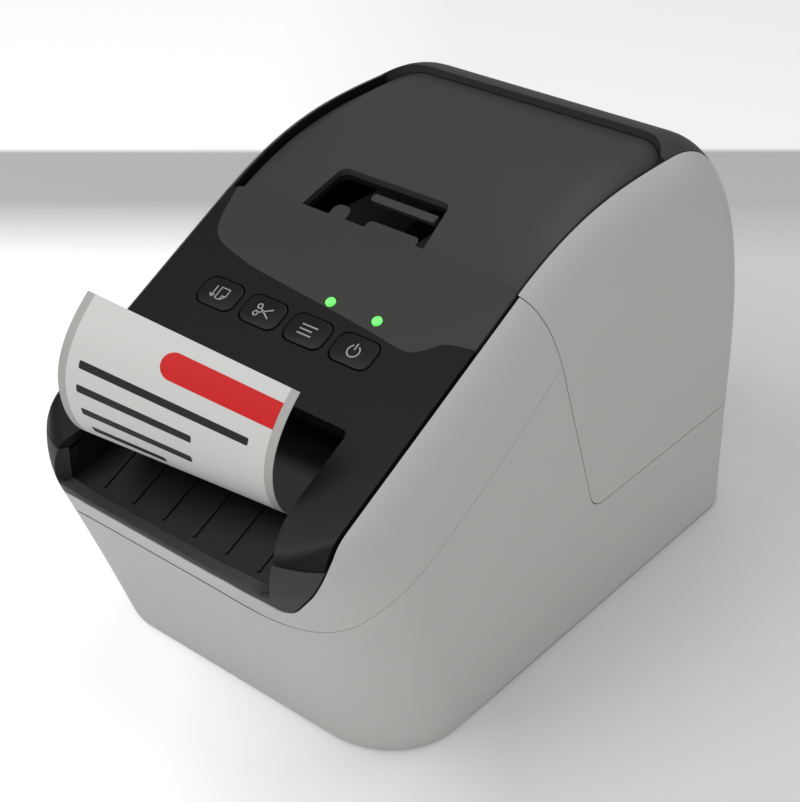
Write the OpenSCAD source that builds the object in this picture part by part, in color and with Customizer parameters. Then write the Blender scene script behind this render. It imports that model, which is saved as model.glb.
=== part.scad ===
// Desktop label printer: a wedge-shaped casing with a hinged lid over a label roll,
// a sloping front with four buttons, and an outlet tray at the nose.
// X runs to the right seen from the front, Y to the rear, Z up. The floor is z = 0.

/* [Casing] */
// Overall width of the casing
body_w = 125.3; // [118:0.1:134]
// Overall depth, from the nose to the rear wall
body_d = 213; // [208:1:222]
// Overall height above the floor
body_h = 142; // [140:0.5:148]
// Wall thickness of the casing shells
wall = 2.4; // [2:0.1:2.8]
// Height of the rubber feet below the casing
foot_h = 1; // [0.6:0.1:1.4]
// Slope of the front face
face_slope = 28; // [27:0.5:29]
// Radius of the nose in the side view
nose_r = 12; // [10:0.5:13]
// Height of the crest above the nose's centre
crest_over = 72.4; // [71:0.1:73]
// How far the foot of the front wall stands behind the nose
base_setback = 29.3; // [26:0.1:33]
// Width of the light panel on each side of the dark band
side_w = 9.35; // [9:0.05:10]
// Width of the seams between the casing's pieces
seam = 0.5; // [0.3:0.05:0.6]

/* [Lid] */
// Depth of the lid's top plate below its rim
plate_recess = 2.5; // [2:0.1:3]
// Thickness of the lid's top plate
plate_t = 1.8; // [1.4:0.1:2]
// Width of the window in the top plate's front edge
window_w = 44; // [40:1:46]
// Length of the window along the lid
window_l = 18; // [16:0.5:19]
// Height of the hinge axis above the lid's lower edge
hinge_over = 10.2; // [9.7:0.1:11.2]
// Radius of the hinge pins
hinge_pin_r = 1.5; // [1.2:0.1:1.7]

/* [Front] */
// Room beside the label in the outlet recess
outlet_room = 5; // [4.5:0.1:5.5]
// Slope of the tray's floor
tray_slope = 24.7; // [24:0.1:25.5]
// Thickness of the tray's floor and cheeks
tray_t = 1.8; // [1.4:0.1:2.2]
// Distance between the tray's ribs
rib_pitch = 11.8; // [10:0.1:12.2]
// Width of a button
button_w = 14.2; // [12:0.1:15]
// Height of a button along the face
button_h = 9.6; // [8:0.1:10.5]
// Distance between the buttons' centres
button_pitch = 16.8; // [16:0.1:17.2]
// How far a button travels
button_travel = 0.8; // [0.5:0.1:0.8]
// Radius of an indicator's light pipe
pipe_r = 1.5; // [1.2:0.1:1.7]

/* [Label] */
// Width of the label strip
label_w = 62; // [58:0.5:63]
// Thickness of the label with its backing
label_t = 0.3; // [0.2:0.05:0.35]
// Radius of the wound label roll
roll_r = 27; // [22:0.5:29]
// Radius of the spool's core
spool_r = 12.4; // [11:0.1:13]

/* [Drive] */
// Radius of the platen roller
platen_r = 6.5; // [6:0.1:6.8]
// Radius of the platen's shaft
shaft_r = 2.5; // [2:0.1:3]
// Size of the gear teeth
gear_module = 0.8; // [0.75:0.01:0.82]
// How far the cutter's blade travels
blade_travel = 3; // [2:0.1:3.2]
// Radius of the feed motor
motor_r = 16; // [14:0.5:16.5]

/* [Hidden] */

$fn = 48;

// Running clearance of a shaft in its bore
run_gap = 0.05;
// Clearance where a piece lies against its seat
seat_gap = 0.3;
// Clearance of a moving piece from what it passes
pass_gap = 0.5;
// How far a cutting shape runs past what it cuts
over = 2;
// Thickness of the flat slices that carry the casing's form
sliver = 0.01;

half_w = body_w / 2;
front_y = -body_d / 2;
rear_y = body_d / 2;
edge_x = half_w - side_w;
nose_z = body_h - crest_over;
base_z = foot_h;

// Radii of the casing's corners seen from above: at the foot of the front, at the nose, at the rear
foot_corner = [25.4, 25.4];
nose_corner = [40, 38];
rear_corner = [22, 22];
rear_foot_corner = [17, 17];
// Half axes of the shoulders, across and down, beside the face and at the crest
shoulder = [16, 30];
crest_shoulder = [20, 24];

// Where the straight face ends, and the crest, both from the nose
face_length = 86.5;
crest_back = 162.5;
// Height of the rearmost line, and the setback of the rear wall's foot
rear_under = 26.6;
rear_z = nose_z - rear_under;
rear_setback = 2;
// Reach of the curves' handles, as shares of the distance between their ends
face_handle_share = 0.368;
crest_handle_share = 0.594;
rear_handle_share = 0.697;

nose_c = [front_y + nose_r, nose_z];
foot_p = [front_y + base_setback, base_z];
face_dir = [cos(face_slope), sin(face_slope)];
face_in = [sin(face_slope), -cos(face_slope)];
face_start = nose_c - nose_r * face_in;
lean = asin(nose_r / norm(nose_c - foot_p)) + atan2(foot_p[0] - nose_c[0], nose_c[1] - foot_p[1]);
wall_top = nose_c - nose_r * [cos(lean), sin(lean)];
face_end_y = front_y + face_length;
crest_y = front_y + crest_back;

// Points given in the side view from the nose: back from its front, up from its centre
function placed(v) = [for (p = v) p + [front_y, nose_z]];

// Height of the front face at a given place
function face_z(y) = face_start[1] + (y - face_start[0]) * tan(face_slope);

// A point on a curve between p and s, drawn by the handles q and r
function bezier(p, q, r, s, t) =
    p * pow(1 - t, 3) + q * 3 * t * pow(1 - t, 2) + r * 3 * t * t * (1 - t) + s * t * t * t;

// How far an elliptical corner has fallen away at x, past its flat half width
function ellipse_fall(x, axes) =
    axes[1] * (1 - sqrt(max(0, 1 - pow(max(0, min(1, (x - half_w) / axes[0] + 1)), 2))));
function fall(x, axes, flat) =
    abs(x) <= flat ? 0 : ellipse_fall(abs(x), axes) - ellipse_fall(flat, axes);
function corner_fall(x, axes) = fall(x, axes, half_w - axes[0]);

function dot(a, b) = a[0] * b[0] + a[1] * b[1];

nose_steps = 6;
nose_low_steps = 3;
nose_high_steps = 4;
curve_steps = 9;

// The casing's outline in the side view, at a given distance from the middle
function outline(x) = let (
    foot = foot_p + [corner_fall(x, foot_corner), 0],
    top = wall_top + [corner_fall(x, nose_corner), 0],
    along = (top - foot) / norm(top - foot),
    inward = [along[1], -along[0]],
    drop = fall(x, shoulder, edge_x),
    on_face = face_start + face_in * (drop + nose_r),
    shift = (nose_r - dot(on_face - foot, inward)) / dot(face_dir, inward),
    c = on_face + face_dir * shift,
    turn_from = 180 + atan2(inward[1], inward[0]),
    turn_to = 90 + face_slope,
    face_end = [face_end_y, face_z(face_end_y)] + face_in * drop,
    crest = [crest_y, body_h - corner_fall(x, crest_shoulder)],
    rear = [rear_y - corner_fall(x, rear_corner), rear_z],
    rear_foot = [rear_y - rear_setback - corner_fall(x, rear_foot_corner), base_z],
    reach = (crest[0] - face_end[0]) * face_handle_share,
    rise = (crest[1] - rear[1]) * rear_handle_share,
    run = (rear[0] - crest[0]) * crest_handle_share)
    concat([foot],
        [for (i = [0:nose_low_steps]) let (a = turn_from + (180 - turn_from) * i / nose_low_steps)
            c + nose_r * [cos(a), sin(a)]],
        [for (i = [1:nose_high_steps]) let (a = 180 + (turn_to - 180) * i / nose_high_steps)
            c + nose_r * [cos(a), sin(a)]],
        [for (i = [0:curve_steps]) bezier(face_end, face_end + [1, tan(face_slope)] * reach,
            crest - [reach, 0], crest, i / curve_steps)],
        [for (i = [1:curve_steps]) bezier(crest, crest + [run, 0],
            rear + [0, rise], rear, i / curve_steps)],
        [rear_foot]);

// Places of the slices, from the middle outwards
nose_flat = half_w - nose_corner[0];
inner_steps = 5;
outer_steps = 6;
slices = concat(
    [for (i = [0:inner_steps]) nose_flat + (edge_x - nose_flat) * i / inner_steps],
    [for (i = [1:outer_steps]) edge_x + (half_w - edge_x) * sin(90 * i / outer_steps)]);

// Stands a flat shape drawn in (y, z) upright and gives it a width along X
module side(x0, x1) {
    translate([x0, 0, 0]) rotate([90, 0, 90]) linear_extrude(x1 - x0) children();
}

// The outline drawn in by an inset, as points in space
function inset_points(v, inset) = [for (i = [0:len(v) - 1]) let (
    n = len(v),
    a = v[i] - v[(i + n - 1) % n],
    b = v[(i + 1) % n] - v[i],
    na = [a[1], -a[0]] / norm(a),
    nb = [b[1], -b[0]] / norm(b))
    v[i] + inset * (na + nb) / (1 + dot(na, nb))];
function slice_points(x, inset) = let (place = x * (half_w - inset) / half_w)
    [for (p = inset_points(outline(x), inset)) [place, p[0], p[1]]];

module between(a, b) {
    hull() polyhedron(concat(a, b), [[for (i = [0:len(a) + len(b) - 1]) i]]);
}

// The casing's solid outer form, drawn in by an inset
module form(inset) {
    between(flipped(slice_points(slices[0], inset)), slice_points(slices[0], inset));
    for (i = [1:len(slices) - 1]) {
        between(slice_points(slices[i - 1], inset), slice_points(slices[i], inset));
        between(flipped(slice_points(slices[i - 1], inset)), flipped(slice_points(slices[i], inset)));
    }
}
function flipped(v) = [for (p = v) [-p[0], p[1], p[2]]];

// A shell between two insets
module shell(outer, inner) {
    difference() {
        form(outer);
        form(inner);
    }
}

// A point cut back from a corner, and the arc that rounds it
function toward(p, q, d) = p + (q - p) * d / norm(q - p);
function fillet(p, corner, q, r, n) = let (
    a = toward(corner, p, 1) - corner,
    b = toward(corner, q, 1) - corner,
    half = acos(dot(a, b)) / 2,
    c = corner + (a + b) / norm(a + b) * r / sin(half),
    s = atan2((corner + a * r / tan(half) - c)[1], (corner + a * r / tan(half) - c)[0]),
    e = atan2((corner + b * r / tan(half) - c)[1], (corner + b * r / tan(half) - c)[0]),
    sweep = e - s > 180 ? e - s - 360 : e - s < -180 ? e - s + 360 : e - s)
    [for (i = [0:n]) c + r * [cos(s + sweep * i / n), sin(s + sweep * i / n)]];

// The seams in the side view, from the nose. They meet at one point on each flank.
seam_points = [[98.1, 31.7], [119.3, -27.8], [88.7, 54.4]];
joint_p = placed(seam_points)[0];
seam_v = placed(seam_points)[1];
seam_top = placed(seam_points)[2];
seam_v_r = 8;
seam_top_curve = [[95.1, 40.4], [93, 49.9]];
seam_top_handles = placed(seam_top_curve);
// The lower seam of the front frame: level across the nose, dipping at its corners
front_seam_curve = [[0.8, -4.6], [4, -9], [8.5, -14.5], [14.5, -14.5], [20.5, -14.4], [24, -9],
    [32, -5.6], [50, 2], [70.5, 12.4], seam_points[0]];
front_seam_p = placed(front_seam_curve);
front_seam_z = front_seam_p[0][1];
far = body_d;

front_seam = concat([front_seam_p[0]], [for (k = [0:2], i = [1:nose_steps])
    bezier(front_seam_p[3 * k], front_seam_p[3 * k + 1], front_seam_p[3 * k + 2],
        front_seam_p[3 * k + 3], i / nose_steps)]);
upper_seam = [for (i = [0:nose_steps]) bezier(joint_p, seam_top_handles[0],
    seam_top_handles[1], seam_top, i / nose_steps)];
lower_seam = concat([joint_p], fillet(joint_p, seam_v, [far, seam_v[1]], seam_v_r, nose_steps),
    [[far, seam_v[1]]]);

function reversed(v) = [for (i = [len(v) - 1:-1:0]) v[i]];

module case_region() {
    offset(delta = -seam / 2)
        polygon(concat([[-far, -far], [-far, front_seam_z]], front_seam, lower_seam, [[far, -far]]));
}

module front_region() {
    offset(delta = -seam / 2)
        polygon(concat([[-far, front_seam_z]], front_seam, upper_seam,
            [[seam_top[0], far], [-far, far]]));
}

module lid_region() {
    offset(delta = -seam / 2)
        polygon(concat(reversed(upper_seam), lower_seam, [[far, far], [seam_top[0], far]]));
}

// The dark band in the front view, drawn by shares of its half width and of the nose's radius:
// its lower edge hangs down in a tip at each corner of the nose
band_shares = [[0.41, 0.055], [0.545, 0.03], [0.664, -0.115], [0.724, -0.25], [0.76, -0.39],
    [0.788, -0.5], [0.818, -0.535], [0.852, -0.47], [0.9, -0.19], [0.94, 0.075], [0.97, 0.37],
    [0.99, 0.65], [1, 0.95]];
band_tip_r = 2.4;
function band_points(shares) = [for (p = shares) [p[0] * edge_x, nose_z + p[1] * nose_r]];
band_line = band_points(band_shares);
band_z = min([for (p = band_line) p[1]]);
function mirrored(v) = concat(reversed([for (p = v) [-p[0], p[1]]]), v);
module band_front(grow) {
    offset(delta = grow) offset(r = band_tip_r) offset(delta = -band_tip_r)
        polygon(concat(mirrored(band_line), [[edge_x, far], [-edge_x, far]]));
}

module band(grow) {
    rotate([90, 0, 0]) translate([0, 0, -far]) linear_extrude(2 * far) band_front(grow);
}

// The seam between the face and the lid seen from above: straight, with its ends drawn forward
lid_front_back = 91.9;
lid_front_y = front_y + lid_front_back;
lid_front_bow = 3.1;
lid_front_turn = 13.3;
lid_front_straight = edge_x - lid_front_turn;
function lid_front(x) = lid_front_y
    - lid_front_bow * pow(max(0, abs(x) - lid_front_straight) / (edge_x - lid_front_straight), 2);
lid_front_line = [for (i = [-curve_steps:curve_steps])
    let (x = edge_x * i / curve_steps) [x, lid_front(x)]];

module above(z0, z1) {
    translate([0, 0, z0]) linear_extrude(z1 - z0) children();
}

// The face's part of the band and the lid's part, seen from above
module face_plan() {
    offset(delta = -seam / 2) polygon(concat(lid_front_line, [[edge_x, -far], [-edge_x, -far]]));
}
module lid_plan() {
    offset(delta = -seam / 2) polygon(concat(lid_front_line, [[edge_x, far], [-edge_x, far]]));
}

// The lip ends at a level seam under the face, and seen from above at a line along the nose's corners
lip_over = 8.4;
lip_z = nose_z + lip_over;
function lip_back(x) = face_start[0] + corner_fall(x, nose_corner);
lip_line = [for (i = [-curve_steps:curve_steps])
    let (x = edge_x * i / curve_steps) [x, lip_back(x)]];
module lip_plan(grow) {
    offset(delta = grow) polygon(concat(lip_line, [[edge_x, -far], [-edge_x, -far]]));
}

// The outlet recess: its top edge, its mouth's rounding and the tray's floor
outlet_half_w = label_w / 2 + outlet_room;
outlet_l = 40.3;
outlet_top_y = front_y + outlet_l;
outlet_corner_r = 2;
mouth_flare = [[0, 20], [0.6, 14.8], [2.1, 10.1], [4.1, 6.7], [4.9, 4.2], [5, 2.5]];
tray_top_point = [[42, 13.7]];
tray_top = placed(tray_top_point)[0];
tray_inset = 4.6;
function tray_z(y) = tray_top[1] + (y - tray_top[0]) * tan(tray_slope);

// The top of the strip under the mouth in the front view, by the same shares as the band
rim_shares = [[0.43, 0.15], [0.545, 0.15], [0.649, 0.07], [0.715, -0.045], [0.762, -0.11],
    [1, -0.11]];
rim_line = band_points(rim_shares);
strip_t = 1.2;
strip_h = 0.8;

// The recess seen from above: straight cheeks and a mouth that flares at the nose
mouth_side = [for (p = mouth_flare) [outlet_half_w + p[0], front_y + p[1]]];
mouth_end = mouth_side[len(mouth_side) - 1];
module outlet_plan(grow) {
    offset(delta = grow) union() {
        polygon(mirrored(concat([[outlet_half_w, outlet_top_y - outlet_corner_r]], mouth_side,
            [[mouth_end[0], front_y - over]])));
        translate([-outlet_half_w + outlet_corner_r, outlet_top_y - 2 * outlet_corner_r])
            square([2 * (outlet_half_w - outlet_corner_r), 2 * outlet_corner_r]);
        for (s = [-1, 1]) translate([s * (outlet_half_w - outlet_corner_r),
            outlet_top_y - outlet_corner_r]) circle(outlet_corner_r);
    }
}

// Seen from above, what is further back than a line that follows the nose at an inset
module behind_nose(inset) {
    polygon(concat([for (p = lip_line) p + [0, front_y + inset - face_start[0]]],
        [[edge_x, far], [-edge_x, far]]));
}

// Places something on the front face: X across, Y up the slope, Z out of it
module on_face(x, y, out = 0) {
    translate([x, y, face_z(y)]) rotate([face_slope, 0, 0]) translate([0, 0, out]) children();
}

module rounded(w, l, r) {
    hull() for (x = [-1, 1], y = [-1, 1])
        translate([x * (w / 2 - r), y * (l / 2 - r)]) circle(r);
}

button_back = 59.3;
button_y = front_y + button_back;
button_mid_x = -3.7;
button_corner_r = 3.4;
button_proud = 0.5;
button_gap = 0.3;
function button_x(i) = button_mid_x + button_pitch * (i - 1.5);

pipe_up = 10.8;
pipe_xs = [button_x(2), button_x(3)];
pipe_y = button_y + pipe_up * cos(face_slope);
board_depth = 7.2;
board_t = 1.6;
post_r = 2.2;
post_gap = 0.2;
post_out = 2 * button_pitch + post_r + post_gap;

// The bay beside the roll, and the room between it and the casing
bay_room = 5.6;
bay_t = 1.5;
bay_half_w = label_w / 2 + bay_room;
bay_out = bay_half_w + bay_t;
side_room = half_w - wall - bay_out;

// The hinge's brackets beside the bay, the arms beside them, and the axis clear of the casing there
bracket_x = bay_out;
bracket_w = 3.5;
arm_w = 4;
arm_out = bracket_x + bracket_w + seat_gap + arm_w;
knuckle_r = 3;
hinge_back = corner_fall(arm_out, rear_corner) + wall + knuckle_r + pass_gap;
hinge_y = rear_y - hinge_back;
hinge_z = seam_v[1] + hinge_over;
lid_tail_r = norm([hinge_back, hinge_z - seam_v[1] + seam / 2]);

module along_x(x0, x1, y, z, r) {
    translate([x0, y, z]) rotate([0, 90, 0]) cylinder(r = r, h = x1 - x0);
}

inlet_in = 24.65;
inlet_x = inlet_in - half_w;
inlet_z = 22;
inlet_w = 27;
inlet_h = 19.5;
usb_share = 0.492;
usb_x = bay_out + usb_share * side_room;
usb_z = 20;
usb_w = 12;
usb_h = 10.9;
vent_count = 6;
vent_w = 22;
vent_h = 2;
vent_pitch = 4.5;
vent_z = 12;

module lower_case() {
    color("gainsboro") difference() {
        intersection() {
            shell(0, wall);
            side(-far, far) case_region();
        }
        band(seam);
        above(-far, base_z + sliver) square(2 * far, center = true);
        // Room for the lid's tail to swing
        along_x(-half_w, half_w, hinge_y, hinge_z, lid_tail_r + pass_gap);
        above(base_z - over, base_z + bottom_t + sliver) offset(delta = seat_gap) floor_plan();
        translate([inlet_x - inlet_w / 2, rear_y - 4 * wall, inlet_z - inlet_h / 2])
            cube([inlet_w, 6 * wall, inlet_h]);
        translate([usb_x - usb_w / 2, rear_y - 8 * wall, usb_z - usb_h / 2])
            cube([usb_w, 10 * wall, usb_h]);
        for (i = [0:vent_count - 1]) translate([-vent_w / 2, rear_y - 4 * wall, vent_z + i * vent_pitch])
            cube([vent_w, 6 * wall, vent_h]);
    }
}

bottom_t = 2.4;
floor_top = base_z + bottom_t;
floor_corner_r = 22;

// Plan of the bottom plate, inside the casing's foot
module floor_plan() {
    front = foot_p[0] + wall + seat_gap;
    back = rear_y - rear_setback - wall - seat_gap;
    w = body_w - 2 * (wall + seat_gap);
    translate([0, (front + back) / 2]) rounded(w, back - front, floor_corner_r);
}

foot_in = 18.65;
foot_xs = [foot_in - half_w, half_w - foot_in];
foot_ahead = 50.5;
foot_behind = 22.5;
foot_ys = [front_y + foot_ahead, rear_y - foot_behind];
foot_r = 6;
foot_inset = 1.2;
screw_in = 12.65;
screw_xs = [screw_in - half_w, half_w - screw_in];
screw_ahead = 70.5;
screw_behind = 14.5;
screw_ys = [front_y + screw_ahead, rear_y - screw_behind];
screw_r = 1.5;
screw_head_r = 2.8;
screw_head_h = 1.4;
socket_share = 0.7;
hex_sides = 6;
screw_l = 9;
floor_post_r = 3.2;

module bottom_plate() {
    color("dimgray") difference() {
        union() {
            above(base_z, floor_top) floor_plan();
            for (x = screw_xs, y = screw_ys) translate([x, y, floor_top - sliver])
                cylinder(r = floor_post_r, h = screw_l);
        }
        for (x = foot_xs, y = foot_ys) translate([x, y, base_z - over])
            cylinder(r = foot_r + run_gap, h = over + foot_inset);
        for (x = screw_xs, y = screw_ys) translate([x, y, base_z - over]) {
            cylinder(r = screw_r + run_gap, h = over + screw_l);
            cylinder(r = screw_head_r + seat_gap, h = over + screw_head_h);
        }
    }
}

module rubber_feet() {
    color("black") for (x = foot_xs, y = foot_ys) translate([x, y, 0])
        cylinder(r = foot_r, h = base_z + foot_inset);
}

module case_screws() {
    color("silver") for (x = screw_xs, y = screw_ys) translate([x, y, base_z]) difference() {
        union() {
            cylinder(r = screw_head_r, h = screw_head_h);
            cylinder(r = screw_r, h = screw_l - over);
        }
        translate([0, 0, -sliver])
            cylinder(r = screw_r * socket_share, h = screw_head_h / 2, $fn = hex_sides);
    }
}

module front_frame() {
    color("gainsboro") difference() {
        intersection() {
            shell(0, wall);
            side(-far, far) front_region();
        }
        band(seam);
    }
}

module button_hole(i) {
    on_face(button_x(i), button_y, -over - wall) linear_extrude(2 * over + wall)
        rounded(button_w + 2 * button_gap, button_h + 2 * button_gap, button_corner_r);
}

// The accent field's lower edge on the face seen from above, as shares of the band's half width
// and of the face's length before the lid
accent_shares = [[-0.949, 0.028], [-0.912, 0.12], [-0.863, 0.184], [-0.775, 0.22], [-0.6, 0.245],
    [-0.424, 0.261], [0.101, 0.287], [0.413, 0.304], [0.582, 0.316], [0.675, 0.316], [0.743, 0.294],
    [0.799, 0.264], [0.863, 0.247], [1, 0.235]];
accent_p = [for (p = accent_shares) [p[0] * edge_x, lid_front_y - p[1] * face_length]];
accent_t = 0.8;

// Two tongues on its rear edge that show in the lid's window: place, width, reach past the lid's edge
tongue_xs = [-13.1, 6.6];
tongue_ws = [6.2, 18.6];
tongue_reach = [3.7, 2.2];
tongue_corner_rs = [2.4, 1.6];
module accent_plan(grow) {
    offset(delta = grow) {
        intersection() {
            polygon(concat(accent_p, [[edge_x, far], [accent_p[0][0], far]]));
            face_plan();
        }
        for (i = [0, 1]) translate([tongue_xs[i], lid_front_y + tongue_reach[i] - tongue_ws[0] / 2])
            rounded(tongue_ws[i], tongue_ws[0], tongue_corner_rs[i]);
    }
}

module face_panel() {
    color([0.11, 0.11, 0.105]) difference() {
        union() {
            intersection() {
                shell(0, wall);
                band(0);
                above(0, far) face_plan();
            }
            for (s = [-1, 1]) on_face(button_mid_x + s * post_out, button_y,
                -board_depth) cylinder(r = post_r, h = board_depth - wall + sliver);
        }
        above(-far, lip_z + seam / 2) square(2 * far, center = true);
        above(0, far) outlet_plan(0);
        intersection() {
            difference() {
                form(-over);
                form(accent_t + run_gap);
            }
            above(0, far) accent_plan(run_gap);
        }
        for (i = [0:3]) button_hole(i);
        for (x = pipe_xs) on_face(x, pipe_y, -over - wall)
            cylinder(r = pipe_r + seat_gap, h = 2 * over + wall);
        // The band's corners beside the light panels stop short of them
        for (s = [0, 1]) mirror([s, 0, 0]) translate([edge_x - seam, -far, 0])
            cube([far, 2 * far, far]);
    }
}

module accent_panel() {
    color([0.25, 0.25, 0.24]) difference() {
        intersection() {
            shell(0, accent_t);
            above(band_z, far) accent_plan(0);
            translate([-edge_x + seam, -far, 0]) cube([2 * (edge_x - seam), 2 * far, far]);
        }
        for (x = pipe_xs) on_face(x, pipe_y, -over) cylinder(r = pipe_r + seat_gap, h = 2 * over);
    }
}

module outlet_lip() {
    color([0.23, 0.23, 0.22]) difference() {
        intersection() {
            form(0);
            band(0);
            above(0, lip_z - seam / 2) lip_plan(-seam / 2);
        }
        intersection() {
            mouth_front(0);
            above(0, far) outlet_plan(0);
        }
        intersection() {
            form(strip_t);
            mouth_front(-strip_h);
            above(0, far) outlet_plan(0);
        }
        above(0, far) intersection() {
            outlet_plan(tray_t + seat_gap);
            behind_nose(tray_inset - seat_gap);
        }
    }
}

// What lies over the strip under the mouth, seen from the front
module mouth_front(up) {
    rotate([90, 0, 0]) translate([0, up, -far]) linear_extrude(2 * far)
        polygon(concat(mirrored(rim_line), [[edge_x, far], [-edge_x, far]]));
}

tray_leg_l = 5;
rib_h = 0.5;
rib_w = 0.9;
rib_first_x = -27.9;
rib_count = 6;
ribs_back = 9.5;
rib_ends_y = [front_y + ribs_back, tray_top[0] - tray_leg_l - pass_gap];
notch_x = 15.5;
notch_r = 2.4;

// A plate along the tray's floor between two places
module ramp(x0, x1, y0, y1, low, high) {
    side(x0, x1) polygon([[y0, tray_z(y0) + low], [y1, tray_z(y1) + low],
        [y1, tray_z(y1) + high], [y0, tray_z(y0) + high]]);
}

module label_tray() {
    w = outlet_half_w;
    color([0.13, 0.13, 0.125]) difference() {
        union() {
            intersection() {
                union() {
                    ramp(-edge_x, edge_x, front_y, tray_top[0], -tray_t, 0);
                    for (s = [0, 1]) mirror([s, 0, 0]) cheek();
                }
                above(0, far) intersection() {
                    outlet_plan(tray_t);
                    behind_nose(tray_inset);
                }
            }
            for (i = [0:rib_count - 1]) {
                x = rib_first_x + i * rib_pitch;
                ramp(x - rib_w / 2, x + rib_w / 2, rib_ends_y[0], rib_ends_y[1], -rib_h, rib_h);
            }
            // Feet under the tray's rear edge, down to the bottom plate
            for (s = [-1, 1]) side(s > 0 ? w : -w - tray_t, s > 0 ? w + tray_t : -w)
                polygon([[tray_leg_y, floor_top], [tray_leg_y + tray_leg_l, floor_top],
                    [tray_leg_y + tray_leg_l, tray_z(tray_leg_y) - tray_t / 2],
                    [tray_leg_y, tray_z(tray_leg_y) - tray_t / 2]]);
        }
        side(notch_x - notch_r, notch_x + notch_r)
            polygon([[tray_top[0] - notch_r, far], [tray_top[0] + over, far],
                [tray_top[0] + over, 0], [tray_top[0] - notch_r, 0]]);
    }
}

// The recess's side wall, up to the underside of the face
module cheek() {
    intersection() {
        side(outlet_half_w - sliver, edge_x) polygon([
            [front_y, tray_z(front_y) - tray_t],
            [tray_top[0], tray_top[1] - tray_t],
            [tray_top[0], face_z(tray_top[0]) - (wall + seat_gap) / cos(face_slope)],
            [cheek_front_y, face_z(cheek_front_y) - (wall + seat_gap) / cos(face_slope)],
            [front_y + cheek_start, cheek_front_z]]);
        above(0, far) difference() {
            outlet_plan(tray_t);
            outlet_plan(-sliver);
        }
    }
}
cheek_start = 5.6;
cheek_back = 13.5;
cheek_front_y = front_y + cheek_back;
cheek_front_over = 4.9;
cheek_front_z = nose_z + cheek_front_over;
tray_leg_y = tray_top[0] - tray_leg_l - pass_gap;

// Height of the label's middle layer at the nip and the cutter
nip_over = 15;
nip_z = nose_z + nip_over;
cut_back = 53;
cut_y = front_y + cut_back;
label_gap = 0.7;

// The two edges of the printed label, as three joined curves in the side view from the nose:
// left, then right
left_curve = [[52.3, nip_over], [40.5, nip_over], [26.5, 12.9], [14.5, 14.2],
    [5.5, 15.2], [0.5, 25.4], [0.9, 35.9], [1.3, 44.4], [6.5, 51.4], [14.2, 57.9]];
right_curve = [[52.3, nip_over], [44.5, nip_over], [36.5, 12.8], [28.5, 9.2],
    [22, 6.3], [16.2, 14.4], [16.5, 24], [16.7, 31.4], [21, 38.4], [27.9, 44.7]];
label_left = placed(left_curve);
label_right = placed(right_curve);
label_steps = 8;

function curve_point(c, k, t) = bezier(c[3 * k], c[3 * k + 1], c[3 * k + 2], c[3 * k + 3], t);
function curve_points(c) = concat([c[0]],
    [for (k = [0:2], i = [1:label_steps]) curve_point(c, k, i / label_steps)]);
function curve_normal(v, i) = let (
    d = v[min(i + 1, len(v) - 1)] - v[max(i - 1, 0)]) [-d[1], d[0]] / norm(d);

module printed_label() {
    left = curve_points(label_left);
    right = curve_points(label_right);
    n = len(left);
    function rail(v, x, s) = [for (i = [0:n - 1])
        let (p = v[i] + curve_normal(v, i) * s * label_t / 2) [x, p[0], p[1]]];
    points = concat(rail(left, -label_w / 2, 1), rail(right, label_w / 2, 1),
        rail(left, -label_w / 2, -1), rail(right, label_w / 2, -1));
    faces = concat(
        [for (i = [0:n - 2]) each [[i, i + 1, n + i + 1], [i, n + i + 1, n + i]]],
        [for (i = [0:n - 2]) each [[2 * n + i, 3 * n + i + 1, 2 * n + i + 1],
            [2 * n + i, 3 * n + i, 3 * n + i + 1]]],
        [for (i = [0:n - 2]) each [[i, 2 * n + i, 2 * n + i + 1], [i, 2 * n + i + 1, i + 1]]],
        [for (i = [0:n - 2]) each [[n + i, n + i + 1, 3 * n + i + 1], [n + i, 3 * n + i + 1, 3 * n + i]]],
        [[0, n, 3 * n], [0, 3 * n, 2 * n]],
        [[n - 1, 3 * n - 1, 4 * n - 1], [n - 1, 4 * n - 1, 2 * n - 1]]);
    color([0.83, 0.83, 0.82]) polyhedron(points, faces);
}

// The roll's place, and the straight web from its underside to the nip
roll_share = 0.7441;
roll_y = front_y + roll_share * body_d;
roll_under = 7.6;
roll_z = nose_z - roll_under;
nip_back = 66.5;
nip_y = front_y + nip_back;
web_p = [nip_y + platen_r, nip_z];

module label_web() {
    to_roll = [roll_y, roll_z] - web_p;
    gap_r = roll_r + label_t / 2 + run_gap;
    dip = asin(gap_r / norm(to_roll)) - atan2(to_roll[1], to_roll[0]);
    l = sqrt(pow(norm(to_roll), 2) - gap_r * gap_r);
    tail = cut_y + label_gap;
    color([0.83, 0.83, 0.82]) side(-label_w / 2, label_w / 2) union() {
        translate([tail, nip_z - label_t / 2]) square([web_p[0] - tail, label_t]);
        translate(web_p) rotate(-dip) translate([-label_t / 2, -label_t / 2])
            square([l + label_t / 2, label_t]);
    }
}

// The steel chassis that carries the roller, the head, the cutter and the motors
plate_room = 10;
plate_x = label_w / 2 + plate_room;
plate_thick = 1.5;
chassis_ends = [45.5, 94.5];
chassis_y = [front_y + chassis_ends[0], front_y + chassis_ends[1]];
chassis_under = 0.6;
chassis_top_z = nip_z - chassis_under;
chassis_peak = [[72.5, 29.4]];
chassis_high = placed(chassis_peak)[0];
platen_z = nip_z + label_t / 2 + run_gap + platen_r;
bush_r = 5;
bar_under = 14.6;
bar_z = nip_z - bar_under;
bar_t = 1.5;
bar_half_l = 7;
bar_y = [nip_y - bar_half_l, nip_y + bar_half_l];

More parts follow.
